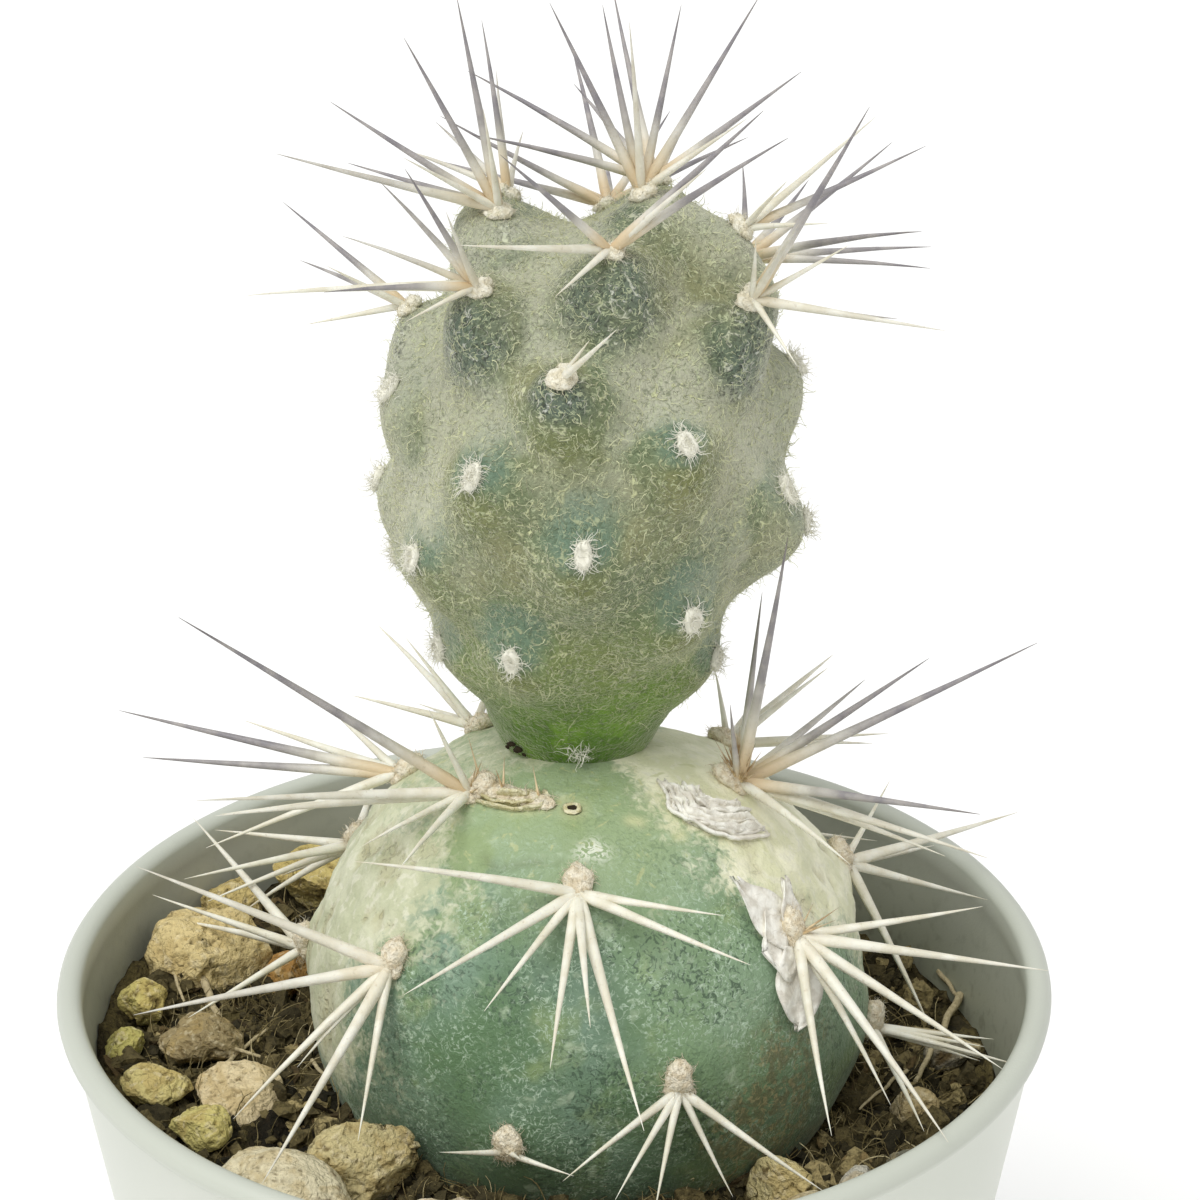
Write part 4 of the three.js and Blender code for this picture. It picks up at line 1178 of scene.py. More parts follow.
def upper_finish():
    made = coated("young_skin", Roughness=0.62, Sheen_Weight=0.9, Sheen_Roughness=0.32,
                  Sheen_Tint=shade(236, 234, 214))
    tree = made.node_tree
    foot, dome, under = (stored(tree, name) for name in ("foot", "dome", "under"))
    olive = two_tone(tree, grain(tree, 0.14, 0.38, 0.62, 3), (108, 122, 88), (136, 138, 98))
    fresh = two_tone(tree, grain(tree, 0.3, 0.4, 0.6, 3), (76, 114, 12), (102, 142, 28))
    skin = over(tree, olive, (118, 138, 66), stored(tree, "low"), 0.85)
    skin = mixed(tree, foot, skin, fresh)
    # Painted shade: a darker, yellower patch under each bare areole's tuft and dome
    skin = over(tree, skin, (120, 124, 66), stored(tree, "below"), 0.7)
    # Painted shade: the darker blue-green that the velvet shows face-on, on the upper face of
    # each bare dome
    skin = over(tree, skin, (100, 126, 106), dome, 0.8)
    # Painted shade under each spined knob; the dark specks in it are freckles of the skin
    skin = over(tree, skin, (86, 102, 88), under, 0.9)
    # Painted sheen: pale in the valleys between the knobs and on the flanks, where the velvet is
    # seen at a slant
    skin = over(tree, skin, (186, 187, 164), stored(tree, "painted_sheen"), 0.9)
    dark = times(tree, grain(tree, 2.0, 0.52, 0.62, 2, 1.4), under)
    skin = over(tree, skin, (40, 46, 36), dark, 0.8)
    skin = over(tree, skin, (70, 84, 50), grain(tree, 1.8, 0.54, 0.66, 2, 1.4), 0.5)
    strength = sum_of(tree, 0.9, times(tree, foot, -0.75))
    strength = times(tree, strength, sum_of(tree, 1, times(tree, dome, -0.5)))
    pale_threads = times(tree, threads(tree, 0.7, 0.04), strength)
    straw = two_tone(tree, under, (206, 210, 162), (204, 208, 196))
    skin = mixed(tree, pale_threads, skin, straw)
    fine_threads = times(tree, threads(tree, 1.25, 0.05), strength)
    skin = over(tree, skin, (190, 198, 158), fine_threads, 0.8)
    height = sum_of(tree, grain(tree, 2.2, 0.2, 0.8, 4, 1.0), pale_threads)
    dressed(made, skin, height, 0.14 * MM)
    return made


def beneath(point, areoles, drop, size):
    """A mask of the round patch at a drop below each areole."""
    total = 0
    for areole in areoles:
        middle = areole["point"] + drop * np.array([0, 0, -1.0])
        reach = np.linalg.norm(point - middle, axis=-1) / size
        total = np.maximum(total, np.exp(-reach ** 2.5))
    return total


upper = Stem(np.vstack([
    [(0, UPPER_FOOT), (UPPER_FOOT_RADIUS, UPPER_FOOT)],
    curve((UPPER_FOOT_RADIUS, UPPER_FOOT), UPPER_PULL["foot"], UPPER_PULL["into"],
          UPPER_NECK),
    curve(UPPER_NECK, UPPER_PULL["out of"],
          (UPPER_RADIUS, UPPER_MIDDLE - UPPER_PULL["below"]), (UPPER_RADIUS, UPPER_MIDDLE)),
    curve((UPPER_RADIUS, UPPER_MIDDLE), (UPPER_RADIUS, UPPER_MIDDLE + UPPER_PULL["above"]),
          (UPPER_PULL["crown"], UPPER_CROWN), (0, UPPER_CROWN)),
]), UPPER_AXIS, UPPER_TUBERCLE)
upper.add_areoles(UPPER_SPIRAL, UPPER_SHIFTS)
upper_skin = upper.grow("upper_skin", upper_finish())
upper_spined = [areole for areole in upper.areoles if areole["index"] >= FIRST_SPINED]
upper_bare = [areole for areole in upper.areoles if areole["index"] < FIRST_SPINED]
points, height = upper.points, upper.points[:, 2]
knob = np.clip(upper.knob, 0, 1)
# Where its skin changes, by height in mm, by degrees either way from the front, and by
# patches above and below its areoles, all with an uneven edge
level = height + 2 * roughness(points, 5, 2, 2)
uneven = 0.25 * roughness(points, 2.5, 6, 2)
keep_mask(upper_skin.data, "foot", 1 - smooth(level, 92, 102))
keep_mask(upper_skin.data, "low", 1 - smooth(level, 98, 111))
# Where the velvet's face-on darkening is painted, above each bare areole
dome = beneath(points, upper_bare, -2.0, 3.7)
keep_mask(upper_skin.data, "dome", smooth(dome + uneven, 0.25, 0.75))
# Where shade is painted under the bare areoles' tufts and domes
keep_mask(upper_skin.data, "below", np.maximum(
    beneath(points, upper_bare, 2.6, 2.4), beneath(points, upper_spined[:1], 6.0, 3.6)))
# Where shade is painted under the spined knobs
under = np.maximum(beneath(points, upper_spined[1:], 4.2, 4.7),
                   beneath(points, upper_spined[:1], 1.6, 2.6))
keep_mask(upper_skin.data, "under", smooth(under + uneven, 0.15, 0.8))
aside = np.abs(np.degrees(upper.azimuth)) + 10 * roughness(points, 4, 11)
# Where the velvet's pale sheen is painted: near the top and on the sides
sheen_area = np.maximum(smooth(height, 113, 125), smooth(aside, 25, 60) * smooth(height, 100, 108)
                     * (1 - 0.5 * smooth(aside, 95, 120)))
painted_sheen = smooth(1 - knob + uneven, 0.4, 0.8) * sheen_area * (1 - 0.6 * under)
edge = 0.85 * smooth(aside, 48, 80) * (1 - smooth(aside, 88, 112)) * smooth(height, 96, 103)
keep_mask(upper_skin.data, "painted_sheen", np.maximum(painted_sheen, edge))
velvet = np.expand_dims(0.08 * roughness(points, 2.2, 4, 2), -1)
reshaped(upper_skin, points + upper.out * velvet)
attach(upper_skin, "root")
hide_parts("upper_segment")

# ---- Down of the upper segment ------------------------------------------------------
# Fine hairs all over the young joint, which make it look velvety: short ones that stand,
# densest between its tubercles, and longer crinkled ones that lie on its skin.
DOWN = {  # a hair's length, radius and bend, how many on a square mm, how far they tilt
    "standing": (0.34, 0.016, 0.03, 5.0, 0.7),
    "lying": (0.9, 0.036, 0.26, 1.3, 1.5),
}
down_finish = coated("down", Base_Color=shade(214, 216, 178), Roughness=0.75,
                     Specular_IOR_Level=0.15)
for kind, (length, radius, bend, density, tilt) in DOWN.items():
    standing = kind == "standing"
    hair = curl(kind + "_hair", length, radius, bend, 1 if standing else 4, 3)
    bed = upper_skin.data.copy()
    bed.materials.clear()
    foot_free = smooth(upper.points[:, 2], 92, 99)
    bare = (1 - knob) if standing else 1 - smooth(dome, 0.2, 0.6)
    keep_mask(bed, "room", foot_free * (0.45 + 0.55 * bare))
    down = grown("down_" + kind, bed, STREWING, {
        "Shape": hair, "Per square mm": density, "Least": 0.5, "Most": 1.3, "Tilt": tilt,
        "Seed": 50, "Finish": down_finish})
    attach(down, "root")

# ---- Areoles without spines ---------------------------------------------------------
# An upright oval of matted white wool sits in each bare areole, round a small hollow. Its
# curly fibres cross one another, and a few stray out over the skin.
PAD = [(0, -0.3), (0.6, -0.25), (0.85, 0.1), (0.75, 0.45), (0.5, 0.52), (0.25, 0.36), (0, 0.3)]
LAST_SPINED = 13  # the lower joint's areoles above this one are bare
wool_white = coated("white_wool", Base_Color=shade(236, 234, 220), Roughness=0.9,
                    Specular_IOR_Level=0.1, Subsurface_Weight=0.1,
                    Subsurface_Radius=(0.001, 0.001, 0.001))
fibre = curl("wool_fibre", 1.0, 0.05, 0.26, 5, 3)


def mound(areole, outline, sides, seed, stretch=(1, 1, 1), shift=(0, 0, 0)):
    """A closed uneven heap on an areole, turned round its outward direction. In mm."""
    across, upwards = basis(areole["out"])
    points, faces = lathe(outline, sides)
    points = points * (1 + 0.25 * np.expand_dims(roughness(points + seed, 0.7, seed, 2), -1))
    points = points * np.array(stretch) + shift
    place = (areole["point"] + points[:, :1] * across + points[:, 1:2] * upwards
             + points[:, 2:] * areole["out"])
    return place, faces


def heap(name, mounds):
    """Several mounds as one mesh, with room for fibres all over them."""
    places, corners = [], []
    for place, faces in mounds:
        shift = sum(len(other) for other in places)
        places.append(place)
        corners += [tuple(corner + shift for corner in face) for face in faces]
    mesh = bpy.data.meshes.new(name)
    mesh.from_pydata([tuple(p) for p in np.vstack(places) * MM], [], corners)
    mesh.shade_smooth()
    keep_mask(mesh, "room", np.ones(len(mesh.vertices)))
    return mesh


bare_areoles = upper_bare + [areole for areole in lower.areoles
                             if areole["index"] > LAST_SPINED]
pads = heap("pads", [mound(areole, PAD, 16, areole["index"], (0.85, 1.4, 1.0))
                     for areole in bare_areoles])
strands = grown("wool_strands", pads.copy(), STREWING, {
    "Shape": fibre, "Per square mm": 20.0, "Least": 0.4, "Most": 1.15, "Tilt": 1.2,
    "Seed": 21, "Finish": wool_white})
tufts = placed("wool_pads", pads, wool_white)
for piece in (tufts, strands):
    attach(piece, "root")

# ---- Spine sprays -------------------------------------------------------------------
# On all the other areoles, a cushion of cream wool bears straight horny spines: spreading
# cream ones and longer grey ones with tan feet and dark points. They grow from the wool.
LOWER_SPINES = {  # by areole: how far each spine reaches to the right, to the back and up
    -3: [(-22, -7, 19), (-21, -9, 4), (-20, -6, 1), (-20, -2, -1), (-8, -9, 0),
         (-5, -13, 0), (-3, -3, 9)],
    -2: [(3, -9, 26), (-1, -4, 9), (2, 9, 13), (25, 8, 9), (16, 9, 7), (11, 13, 3),
         (18, -15, 5), (19, -13, 0), (16, -9, -2), (8, -14, 0)],
    -1: [(-11, 8, -1), (-4, 9, -3), (-6, 5, 6), (-9, 14, 3), (2, 13, 0)],
    0: [(-17, -4, 5), (-13, -12, -2), (11, -7, 2), (13, -11, 0), (-7, -11, -4),
        (-2, -16, -6), (1, -15, -3), (5, -20, -9)],
    1: [(14, 4, -1), (13, 8, -4), (9, 9, 3), (-1, 7, 4), (4, 16, -2), (10, 16, 1)],
    2: [(-24, 4, 4), (-22, 3, 0), (-14, 10, 0), (-7, 11, 1), (-16, -4, -5)],
    3: [(15, 3, 1), (20, -2, -2), (16, -7, -8), (11, -16, -9), (7, -9, -10), (2, -15, -9)],
    5: [(-20, 2, 8), (-20, -4, -2), (-7, -5, -6), (-12, -8, -9), (-9, -17, -9),
        (-2, -11, -9)],
    6: [(16, 11, -1), (13, 6, -7), (4, 5, 5), (7, 0, -15), (7, -5, -13), (9, 14, -6)],
    8: [(-9, -8, -3), (-5, -9, -4), (-2, -9, -5), (4, -4, -7), (11, -5, -6)],
    10: [(-11, 16, 4), (-12, 10, -3), (-9, -8, -2), (-13, 2, 4)],
    13: [(-5, -3, 2), (1, -4, 2), (5, -3, 0)],
}
UPPER_SPINES = {
    13: [(2, -3, 4), (4, -6, 6)],
    15: [(-10, 5, 7), (-8, 1, -2), (-9, 8, 1), (-6, -2, 4)],
    16: [(8, -6, 17), (0, -4, 6), (7, -2, 5), (3, -6, 8), (14, -7, 0), (3, -6, -3),
         (11, 1, -2)],
    18: [(-17, -5, 1), (-11, -7, 2), (-10, 0, 4), (-7, -2, 9), (-5, -5, 11), (-2, -6, 8),
         (-5, -5, -1)],
    19: [(14, 2, 6), (10, 0, 9), (3, -4, 5), (6, -5, 2), (11, 6, 3)],
    20: [(-1, 7, 8), (-6, 9, 3), (-9, 5, 2), (-2, 4, 13), (1, 10, 2)],
    21: [(-11, -8, 3), (-8, -8, 10), (11, -7, 13), (7, -5, 8), (13, -4, 10), (-4, -8, -1)],
    23: [(-17, -2, 5), (-13, 2, 8), (-12, 5, 2), (-7, -3, 5), (-7, -1, 14), (-3, 0, 17),
         (-1, -3, 9)],
    24: [(-7, 0, 15), (-3, 3, 14), (-1, -2, 14), (3, 3, 14), (9, 2, 15), (8, -1, 6)],
}
GREYNESS = {  # by areole, spines that are more or less grey than others of their length
    "lower": {-3: {1: 0.15, 2: 0.1, 3: 0}, -2: {1: 0.9, 2: 0.8, 4: 1, 5: 0.7, 7: 0.1},
              0: {7: 0}, 3: {1: 0.1, 3: 0.1}, 5: {0: 0.2, 4: 0.1}},
    "upper": {16: {4: 0.2}, 18: {0: 0}, 19: {1: 0.1, 3: 0, 4: 0}, 21: {0: 0, 3: 0.1},
              23: {0: 0.5, 3: 0.1}, 24: {2: 0.2, 5: 0.1}},
}
# Sprays that can't be seen from the front: their numbers of spines, and clock angles and
# lifts in degrees. A spine that would end in the soil or the wall is lifted and shortened
FAN = {"radials": 6, "centrals": 1, "from": 100, "to": 260, "jitter": 16, "seed": 41}
SEED_STEP = 97
FAN_RADIAL = {"lift": (18, 36), "length": (12, 18)}
FAN_CENTRAL = {"lift": (55, 72), "length": (15, 20)}
LIFT_STEP = 6
LIFT_LIMIT = 80
SHORTENING = 0.95
FREE_RADIUS = 36  # inside the pot's rim
OVER_RIM = 2
OVER_SOIL = 3


def seeded_draw(seed):
    """Repeatable draws between 0 and 1."""
    state = seed & 0xFFFFFFFF
    while True:
        state = (state * 1664525 + 1013904223) & 0xFFFFFFFF
        yield state / 4294967296


def fanned(out, clock, lift):
    """The direction to a clock angle on the surface, raised from it. Both in degrees."""
    across, upwards = basis(out)
    turn, rise = math.radians(clock), math.radians(lift)
    return ((upwards * math.cos(turn) + across * math.sin(turn)) * math.cos(rise)
            + out * math.sin(rise))


def tip_is_free(tip):
    """Whether a spine's tip stays clear of the soil and of the pot's wall."""
    over_soil = tip[2] > soil_height(tip[0], tip[1]) + OVER_SOIL
    over_rim = tip[2] > POT_HEIGHT / MM + OVER_RIM
    return over_soil and (over_rim or math.hypot(tip[0], tip[1]) < FREE_RADIUS)


def drawn_fan(areole):
    """Reaches for a spray that the front doesn't show."""
    draw = seeded_draw(FAN["seed"] + areole["index"] * SEED_STEP)
    reaches = []
    for number in range(FAN["radials"] + FAN["centrals"]):
        central = number >= FAN["radials"]
        kind = FAN_CENTRAL if central else FAN_RADIAL
        share = 0.5 if central else number / (FAN["radials"] - 1)
        clock = (FAN["from"] + (FAN["to"] - FAN["from"]) * share
                 + FAN["jitter"] * (next(draw) - 0.5))
        length, lift = (low + (high - low) * next(draw)
                        for low, high in (kind["length"], kind["lift"]))
        reach = fanned(areole["out"], clock, lift) * length
        while not tip_is_free(areole["point"] + reach) and lift < LIFT_LIMIT:
            lift += LIFT_STEP
            length *= SHORTENING
            reach = fanned(areole["out"], clock, lift) * length
        reaches.append(reach)
    return reaches


def horn_finish():
    made = coated("spine_horn", Roughness=0.5, Subsurface_Weight=0.1,
                  Subsurface_Radius=(0.0015, 0.0012, 0.0008))
    tree = made.node_tree
    run, grey = stored(tree, "run"), stored(tree, "grey")
    streaks = grain(tree, 0.5, 0.35, 0.65, 3)
    cream = two_tone(tree, streaks, (220, 215, 194), (234, 232, 217))
    foot = times(tree, ramp(tree, run, 0.3, 0.04), grey)
    cream = over(tree, cream, (208, 182, 138), foot, 0.8)
    cream = over(tree, cream, (176, 160, 128), grain(tree, 2.6, 0.6, 0.72, 3), 0.3)
    aged = two_tone(tree, streaks, (134, 130, 134), (166, 161, 158))
    body = mixed(tree, times(tree, ramp(tree, run, 0.1, 0.5), grey), cream, aged)
    tip = times(tree, ramp(tree, run, 0.8, 1.0, "LINEAR"), grey)
    body = over(tree, body, (92, 84, 82), tip, 0.8)
    dressed(made, body, grain(tree, 4, 0.2, 0.8, 3), 0.02 * MM)
    return made


def bristle_finish():
    made = coated("bristle_horn", Roughness=0.5)
    tree = made.node_tree
    body = two_tone(tree, grain(tree, 0.8, 0.42, 0.58, 2), (186, 154, 106), (230, 210, 168))
    dressed(made, over(tree, body, (120, 106, 88), stored(tree, "run"), 0.6))
    return made


def wool_finish(name, dark, light):
    made = coated(name, Roughness=0.92, Specular_IOR_Level=0.1)
    tree = made.node_tree
    body = two_tone(tree, grain(tree, 1.8, 0.36, 0.64, 4), dark, light)
    dressed(made, body, grain(tree, 4, 0.2, 0.8, 4), 0.15 * MM)
    return made


horn = horn_finish()
bristle_horn = bristle_finish()
wool_beige = wool_finish("beige_wool", (228, 214, 184), (244, 236, 214))
wool_cream = wool_finish("cream_wool", (232, 224, 198), (246, 242, 224))
# How thick a spine is at shares of its length, as shares of its radius at the foot, which
# follows its length between two limits
PROFILE = ((0.0, 0.8), (0.03, 1.0), (0.1, 0.93), (0.35, 0.7), (0.7, 0.37), (0.92, 0.13),
           (1.0, 0.03))
THICKNESS = {"least": 0.24, "most": 0.5, "at 0 mm": 0.16, "per mm": 0.016}
WARP = 0.03  # how far a spine bows or sags, of its length
CUSHION = [(0, -0.2), (0.8, -0.2), (1.0, 0.15), (0.95, 0.45), (0.7, 0.75), (0.35, 0.93),
           (0, 0.95)]
RIDGE_FROM = -3  # the areole whose wool runs on as a ridge, and the places of its lumps
RIDGE = ((-62, 0.868), (-55, 0.872), (-48, 0.877), (-41, 0.881), (-34, 0.885), (-27, 0.886))
RIDGE_BRISTLES = (1, 0, 2, 0, 0, 1)
BRISTLES = {  # how many, and between which clock angles they spread
    -3: (5, 0, 90), -2: (60, -90, 60), 3: (5, 30, 90),
}
BRISTLE = {"length": (1.4, 4.4), "lift": (30, 80), "radius": 0.13}


def spine_path(areole, reach, thickness, greyness, seed):
    """One spine's points from its foot in the wool to its tip."""
    length = np.linalg.norm(reach)
    way = reach / length
    flat = way - areole["out"] * (way @ areole["out"])
    root = areole["point"] + areole["out"] * 0.6 + flat * 0.4
    bend = np.cross(way, areole["out"])
    draw = seeded_draw(seed)
    bow = length * WARP * (next(draw) - 0.5)
    sag = length * WARP * (next(draw) - 0.3)
    path = []
    for share, width in PROFILE:
        hump = 4 * share * (1 - share)
        point = root + reach * share + bend * bow * hump + areole["out"] * sag * hump
        path.append((point, {"width": thickness * width, "run": share, "grey": greyness}))
    return path


def bristle_paths(areole, count, first, last):
    """Fine short spines that spread between two clock angles."""
    draw = seeded_draw(5000 + areole["index"])
    paths = []
    for _ in range(count):
        clock = first + (last - first) * next(draw)
        low, high = BRISTLE["lift"]
        way = fanned(areole["out"], clock, low + (high - low) * next(draw))
        short, long = BRISTLE["length"]
        reach = way * (short + (long - short) * next(draw))
        paths.append(spine_path(areole, reach, BRISTLE["radius"], 0, int(1e6 * next(draw))))
    return paths


def joined(name, pieces):
    """Several objects as one."""
    with bpy.context.temp_override(active_object=pieces[0], selected_editable_objects=pieces):
        bpy.ops.object.join()
    pieces[0].name = name
    return pieces[0]


def add_sprays(prefix, areoles, known, stout, grey_from, heaps, wool):
    """One piece for each areole: its spines, and a cushion from the heaps' sizes and places.

    Stout is a factor on a spine's thickness, and grey_from the length where grey begins.
    """
    for order, areole in enumerate(areoles):
        index = areole["index"]
        reaches = known.get(index) or drawn_fan(areole)
        greyness_of = GREYNESS[prefix].get(index, {})
        paths = []
        for number, reach in enumerate(np.array(reaches, float)):
            length = np.linalg.norm(reach)
            greyness = float(smooth(length, grey_from, grey_from + 4))
            greyness = greyness_of.get(number, greyness)
            thick = THICKNESS["at 0 mm"] + THICKNESS["per mm"] * length
            thick = stout * min(max(thick, THICKNESS["least"]), THICKNESS["most"])
            seed = 1000 + 50 * index + number
            paths.append(spine_path(areole, reach, thick, greyness, seed))
        wools = [mound(areole, CUSHION, 18, index + 40 * number, stretch, shift)
                 for number, (stretch, shift) in enumerate(heaps)]
        bristles = []
        if prefix == "lower" and index in BRISTLES:
            bristles += bristle_paths(areole, *BRISTLES[index])
        if prefix == "lower" and index == RIDGE_FROM:
            for number, place in enumerate(RIDGE):
                lump = spot(lower, place) | {"index": 90 + number}
                wools.append(mound(lump, CUSHION, 18, 90 + number, (1.4, 0.9, 0.6)))
                bristles += bristle_paths(lump, RIDGE_BRISTLES[number], -60, 70)
        pieces = [drawn_out("spines", paths, 14, 8, horn)]
        if bristles:
            pieces.append(drawn_out("bristles", bristles, 6, 6, bristle_horn))
        cushion = heap("cushion", wools)
        fuzz = grown("fuzz", cushion.copy(), STREWING, {
            "Shape": fibre, "Per square mm": 8.0, "Least": 0.3, "Most": 0.75, "Tilt": 1.3,
            "Seed": 60 + order, "Finish": wool})
        pieces += [placed("cushion", cushion, wool), fuzz]
        piece = joined(f"{prefix}_horns_{order + 1:02d}", pieces)
        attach(piece, "root")
        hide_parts(f"{prefix}_spray_{order + 1:02d}")


lower_spined = [areole for areole in lower.areoles if areole["index"] <= LAST_SPINED]
add_sprays("lower", lower_spined, LOWER_SPINES, 1.2, 19,
           [((1.25, 1.0, 0.8), (0, 0, 0)), ((1.2, 1.5, 1.3), (0, 1.1, 0.1))], wool_beige)
add_sprays("upper", upper_spined, UPPER_SPINES, 1.12, 9,
           [((1.3, 1.0, 0.9), (0, 0, 0)), ((0.7, 0.8, 0.8), (0.2, 0.6, 0.2))], wool_cream)

# ---- Papery remains -----------------------------------------------------------------
# Old scales and a mat of dead skin, dried to crinkled white paper on two areoles, and the
# rim of a torn pocket beside a healed bite. Fluff and crumbs lie where the joints meet.
LEAVES = {  # by areole: clock angle, length, width, lift of its end, pointed 0 to blunt 1
    3: [(-38, 7.4, 5.0, 2.2, 0), (8, 3.8, 3.0, 1.6, 0), (-85, 3.4, 6.0, 0.6, 1),
        (203, 6.6, 5.0, 0.6, 1)],
}
# The mat and the pocket's rim run along places in degrees round and shares along, and
# close in on a heart. Their frills stand at shares of the way out, with these heights
FOLD = ((58, 0.9), (48, 0.872), (45, 0.85), (50, 0.822), (60, 0.792), (73, 0.768))
FOLD_HEART = (73, 0.842)
FOLD_FRILLS = ((1.03, 0.7), (0.92, 0.9), (0.6, 1.2))
FOLD_RIDGES = 5.5
TORN = ((-60, 0.848), (-48, 0.852), (-36, 0.862), (-26, 0.878), (-24, 0.894), (-30, 0.904))
TORN_HEART = (-44, 0.888)
TORN_FRILLS = ((1.0, 0.7), (0.78, 0.9), (0.5, 1.2))
LEAF_ROWS = 20
LEAF_COLUMNS = 13
FRILL_ROWS = 5
FRILL_COLUMNS = 48
PAPER = 0.16  # thickness
FRILL_PAPER = 0.3
FOLD_ROWS = 64
FOLD_COLUMNS = 72
FLUFF_PLACE = (0.5, 0.168)  # azimuth in degrees, and how far along the outline
CRUMB_PLACE = (-45, 0.144)
BITE_PLACE = (-7.5, 0.886)  # a healed bite: a pale ring round a dark middle


def paper_finish():
    made = coated("dry_paper", Roughness=0.85, Subsurface_Weight=0.1,
                  Subsurface_Radius=(0.001, 0.001, 0.001))
    tree = made.node_tree
    body = two_tone(tree, grain(tree, 0.8, 0.4, 0.6, 4), (242, 240, 230), (218, 213, 200))
    body = over(tree, body, (176, 168, 152), threads(tree, 0.4, 0.025), 0.35)
    dressed(made, body, grain(tree, 1.4, 0.2, 0.8, 3, 0.4), 0.08 * MM)
    return made


def sheet(top, out, rows, columns):
    """Points and faces of a closed sheet from a grid of points and what lies under them."""
    points = np.vstack([top, top - out])
    under, faces = len(top), []
    for row in range(rows):
        for column in range(columns - 1):
            a = row * columns + column
            b, c, d = a + 1, a + 1 + columns, a + columns
            faces += [(a, d, c, b), (a + under, b + under, c + under, d + under)]
    last_row = rows * columns
    for column in range(columns - 1):
        a, b = column, column + 1
        faces.append((a, b, b + under, a + under))
        a, b = last_row + column, last_row + column + 1
        faces.append((b, a, a + under, b + under))
    for row in range(rows):
        a, d = row * columns, (row + 1) * columns
        faces.append((d, a, a + under, d + under))
        b, c = a + columns - 1, d + columns - 1
        faces.append((b, c, c + under, b + under))
    return points, faces


def leaf(areole, clock, length, width, lift, blunt, seed):
    """A sheet that starts at an areole and follows the lower joint's skin. In mm."""
    turn = math.radians(clock)
    top, out = [], []
    for row in range(LEAF_ROWS + 1):
        share = row / LEAF_ROWS
        taper = (1 - share ** (1.4 + 5 * blunt)) ** 0.7 * (0.7 + 0.3 * math.sin(math.pi * share))
        half = max(width / 2 * taper, 0.05)
        for column in range(LEAF_COLUMNS):
            side = column / (LEAF_COLUMNS - 1) * 2 - 1
            far = 0.8 + share * length * (1 - 0.12 * abs(math.sin(3 * side + seed)))
            x = far * math.sin(turn) + side * half * math.cos(turn)
            y = far * math.cos(turn) - side * half * math.sin(turn)
            point, way = lower.beside(areole, math.degrees(math.atan2(x, y)), math.hypot(x, y))
            ripple = 0.12 * math.sin(9 * share + 2 * side + seed) + 0.35 * noise.noise(
                Vector(point) * 0.4 + Vector((seed, 0, 0)))
            top.append(point + way * (0.35 + lift * share ** 1.6 + 0.35 * side * side
                                      + ripple * (0.3 + share)))
            out.append(way)
    return sheet(np.array(top), np.array(out) * PAPER, LEAF_ROWS, LEAF_COLUMNS)


def along_path(path, share):
    """The place at a share of the way along a path of places."""
    return np.array([np.interp((len(path) - 1) * np.clip(share, 0, 1), range(len(path)), part)
                     for part in zip(*path)])


def fold(path, heart, ridges):
    """A mat of dead skin pushed up in ridges that run along a path. In mm."""
    heart = np.array(heart)
    top, down = [], []
    for row in range(FOLD_ROWS + 1):
        across = row / FOLD_ROWS
        for column in range(FOLD_COLUMNS):
            share = column / (FOLD_COLUMNS - 1)
            wave = Vector((5 * share, 2.5 * across, 0))
            ridge = ridges * across + 0.8 * noise.noise(wave) + 0.3 * noise.noise(wave * 2.6)
            crest = abs(math.sin(math.pi * ridge)) ** 0.7
            size = 1.02 - 0.72 * across + 0.1 * noise.noise(wave * 2.2) * (1 - across)
            here = spot(lower, heart + (along_path(path, share) - heart) * size)
            edge = min(1, 9 * share, 9 * (1 - share), 7 * (1 - across))
            tall = edge * (0.2 + (0.6 + 0.4 * noise.noise(wave * 1.6)) * crest
                           + 0.12 * noise.noise(wave * 9))
            top.append(here["point"] + here["out"] * tall)
            down.append(here["out"] * (tall + FRILL_PAPER))
    return sheet(np.array(top), np.array(down), FOLD_ROWS, FOLD_COLUMNS)


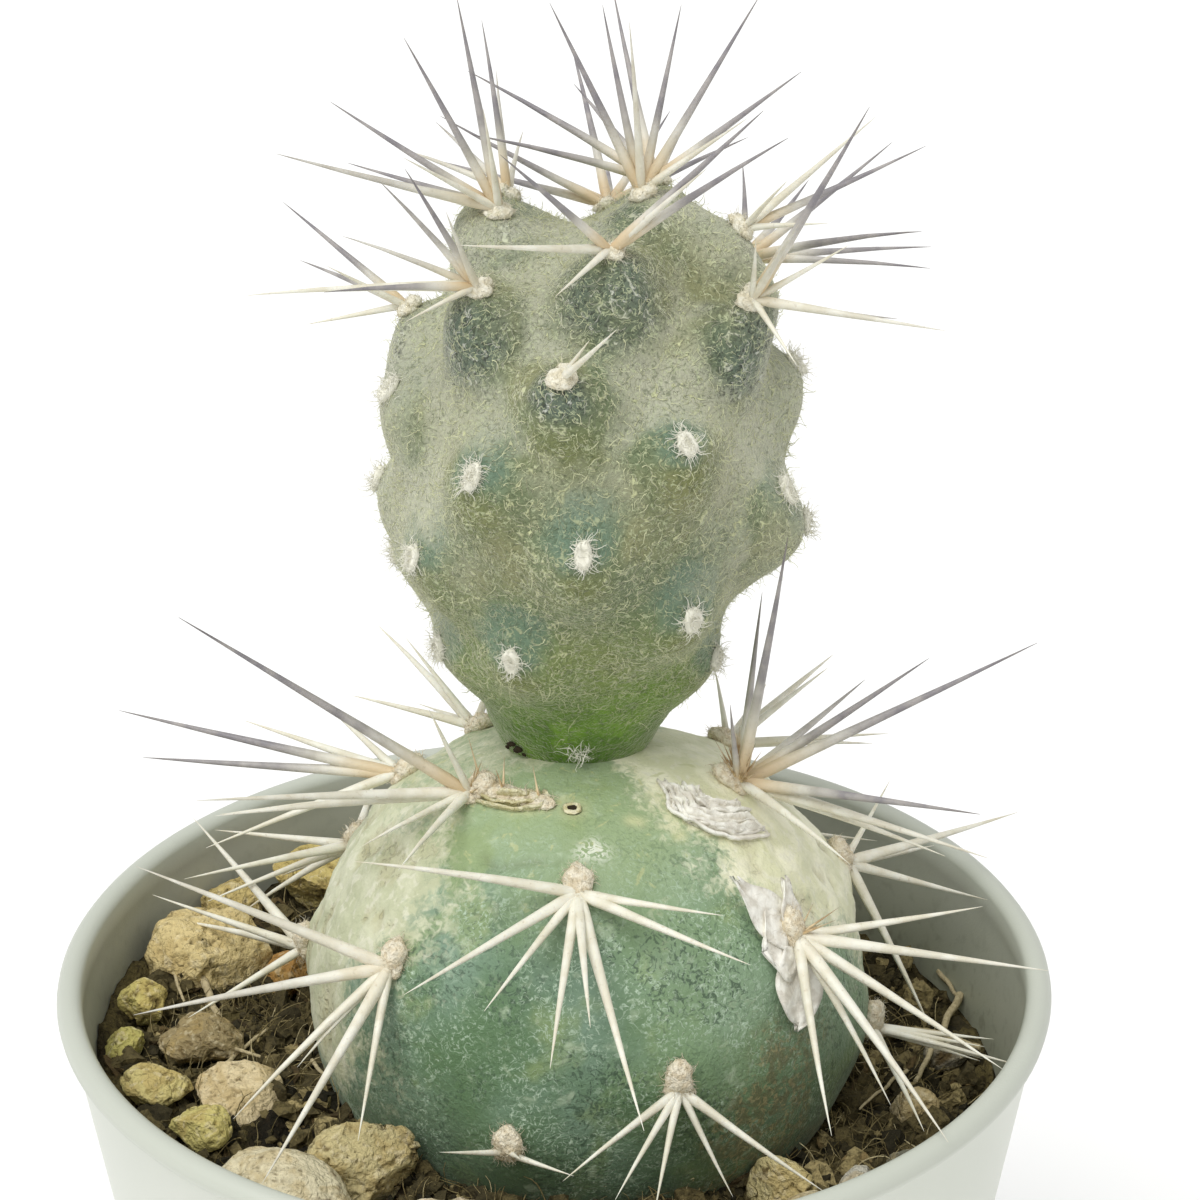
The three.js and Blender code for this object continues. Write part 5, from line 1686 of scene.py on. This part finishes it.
def frill(path, heart, size, height, seed):
    """A ragged sheet that stands on the skin and leans away from a heart. In mm."""
    heart = np.array(heart)
    top, out = [], []
    for row in range(FRILL_ROWS + 1):
        up = row / FRILL_ROWS
        for column in range(FRILL_COLUMNS):
            share = column / (FRILL_COLUMNS - 1)
            wave = Vector((9 * share * size, seed, 0))
            way = along_path(path, share + 0.02 * noise.noise(wave * 1.7)) - heart
            push = 0.07 * noise.noise(wave * 0.8) + 0.03 * noise.noise(wave * 2.7)
            ends = math.sin(math.pi * share) ** 0.4
            flare = (0.1 + 0.05 * noise.noise(wave * 2.3 + Vector((0, 0, 4)))) * up * ends
            here = spot(lower, heart + way * size * (1 + push + flare))
            tall = height * ends * (0.75 + 0.5 * noise.noise(wave * 1.3 + Vector((0, 9, 0))))
            top.append(here["point"] + here["out"] * (tall * math.sin(1.7 * up) - 0.1))
            out.append(here["out"])
    top = np.array(top).reshape(FRILL_ROWS + 1, FRILL_COLUMNS, 3)
    way = np.cross(np.gradient(top, axis=1), np.gradient(top, axis=0)).reshape(-1, 3)
    way /= np.linalg.norm(way, axis=1)[:, None] + 1e-9
    return sheet(top.reshape(-1, 3), way * FRILL_PAPER, FRILL_ROWS, FRILL_COLUMNS)


paper = paper_finish()
sheets = []
for areole in lower.areoles:
    for number, size in enumerate(LEAVES.get(areole["index"], [])):
        sheets.append(leaf(areole, *size, 3 * areole["index"] + number))
sheets.append(fold(FOLD, FOLD_HEART, FOLD_RIDGES))
sheets += [frill(FOLD, FOLD_HEART, size, height, 3 * number + 0.5)
           for number, (size, height) in enumerate(FOLD_FRILLS)]
remains = placed("papery_remains", heap("papery_remains", sheets), paper)
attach(remains, "root")

torn_skin = wool_finish("torn_skin", (206, 198, 152), (236, 230, 196))
rim = placed("torn_rim", heap("torn_rim", [
    frill(TORN, TORN_HEART, size, height, 3 * number + 40.5)
    for number, (size, height) in enumerate(TORN_FRILLS)]
    + [mound(spot(lower, BITE_PLACE), PAD, 16, 5, (0.95, 0.8, 0.3))]), torn_skin)
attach(rim, "root")

fluff_bed = heap("fluff", [mound(spot(upper, FLUFF_PLACE), PAD, 14, 5, (1.1, 0.4, 0.3),
                                 (0, -0.9, 0.5))])
fluff = grown("joint_fluff", fluff_bed, STREWING, {
    "Shape": fibre, "Per square mm": 22.0, "Least": 0.5, "Most": 1.3, "Tilt": 1.3,
    "Seed": 31, "Finish": wool_white})
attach(fluff, "root")
crumb = placed("joint_crumb", heap("crumb", [
    mound(spot(upper, CRUMB_PLACE), CUSHION, 16, seed, (size, size * 0.6, size * 0.7),
          (aside, up, 0.15))
    for seed, size, aside, up in ((9, 0.42, 0.5, -0.4), (14, 0.34, 0, -0.8),
                                  (23, 0.3, -0.7, -0.4), (31, 0.36, -0.2, -0.1),
                                  (38, 0.24, 0.9, -0.9), (45, 0.26, -1.1, -0.9))]
    + [mound(spot(lower, BITE_PLACE), CUSHION, 16, 3, (0.48, 0.3, 0.2), (0, 0, 0.03))]), bark)
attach(crumb, "root")
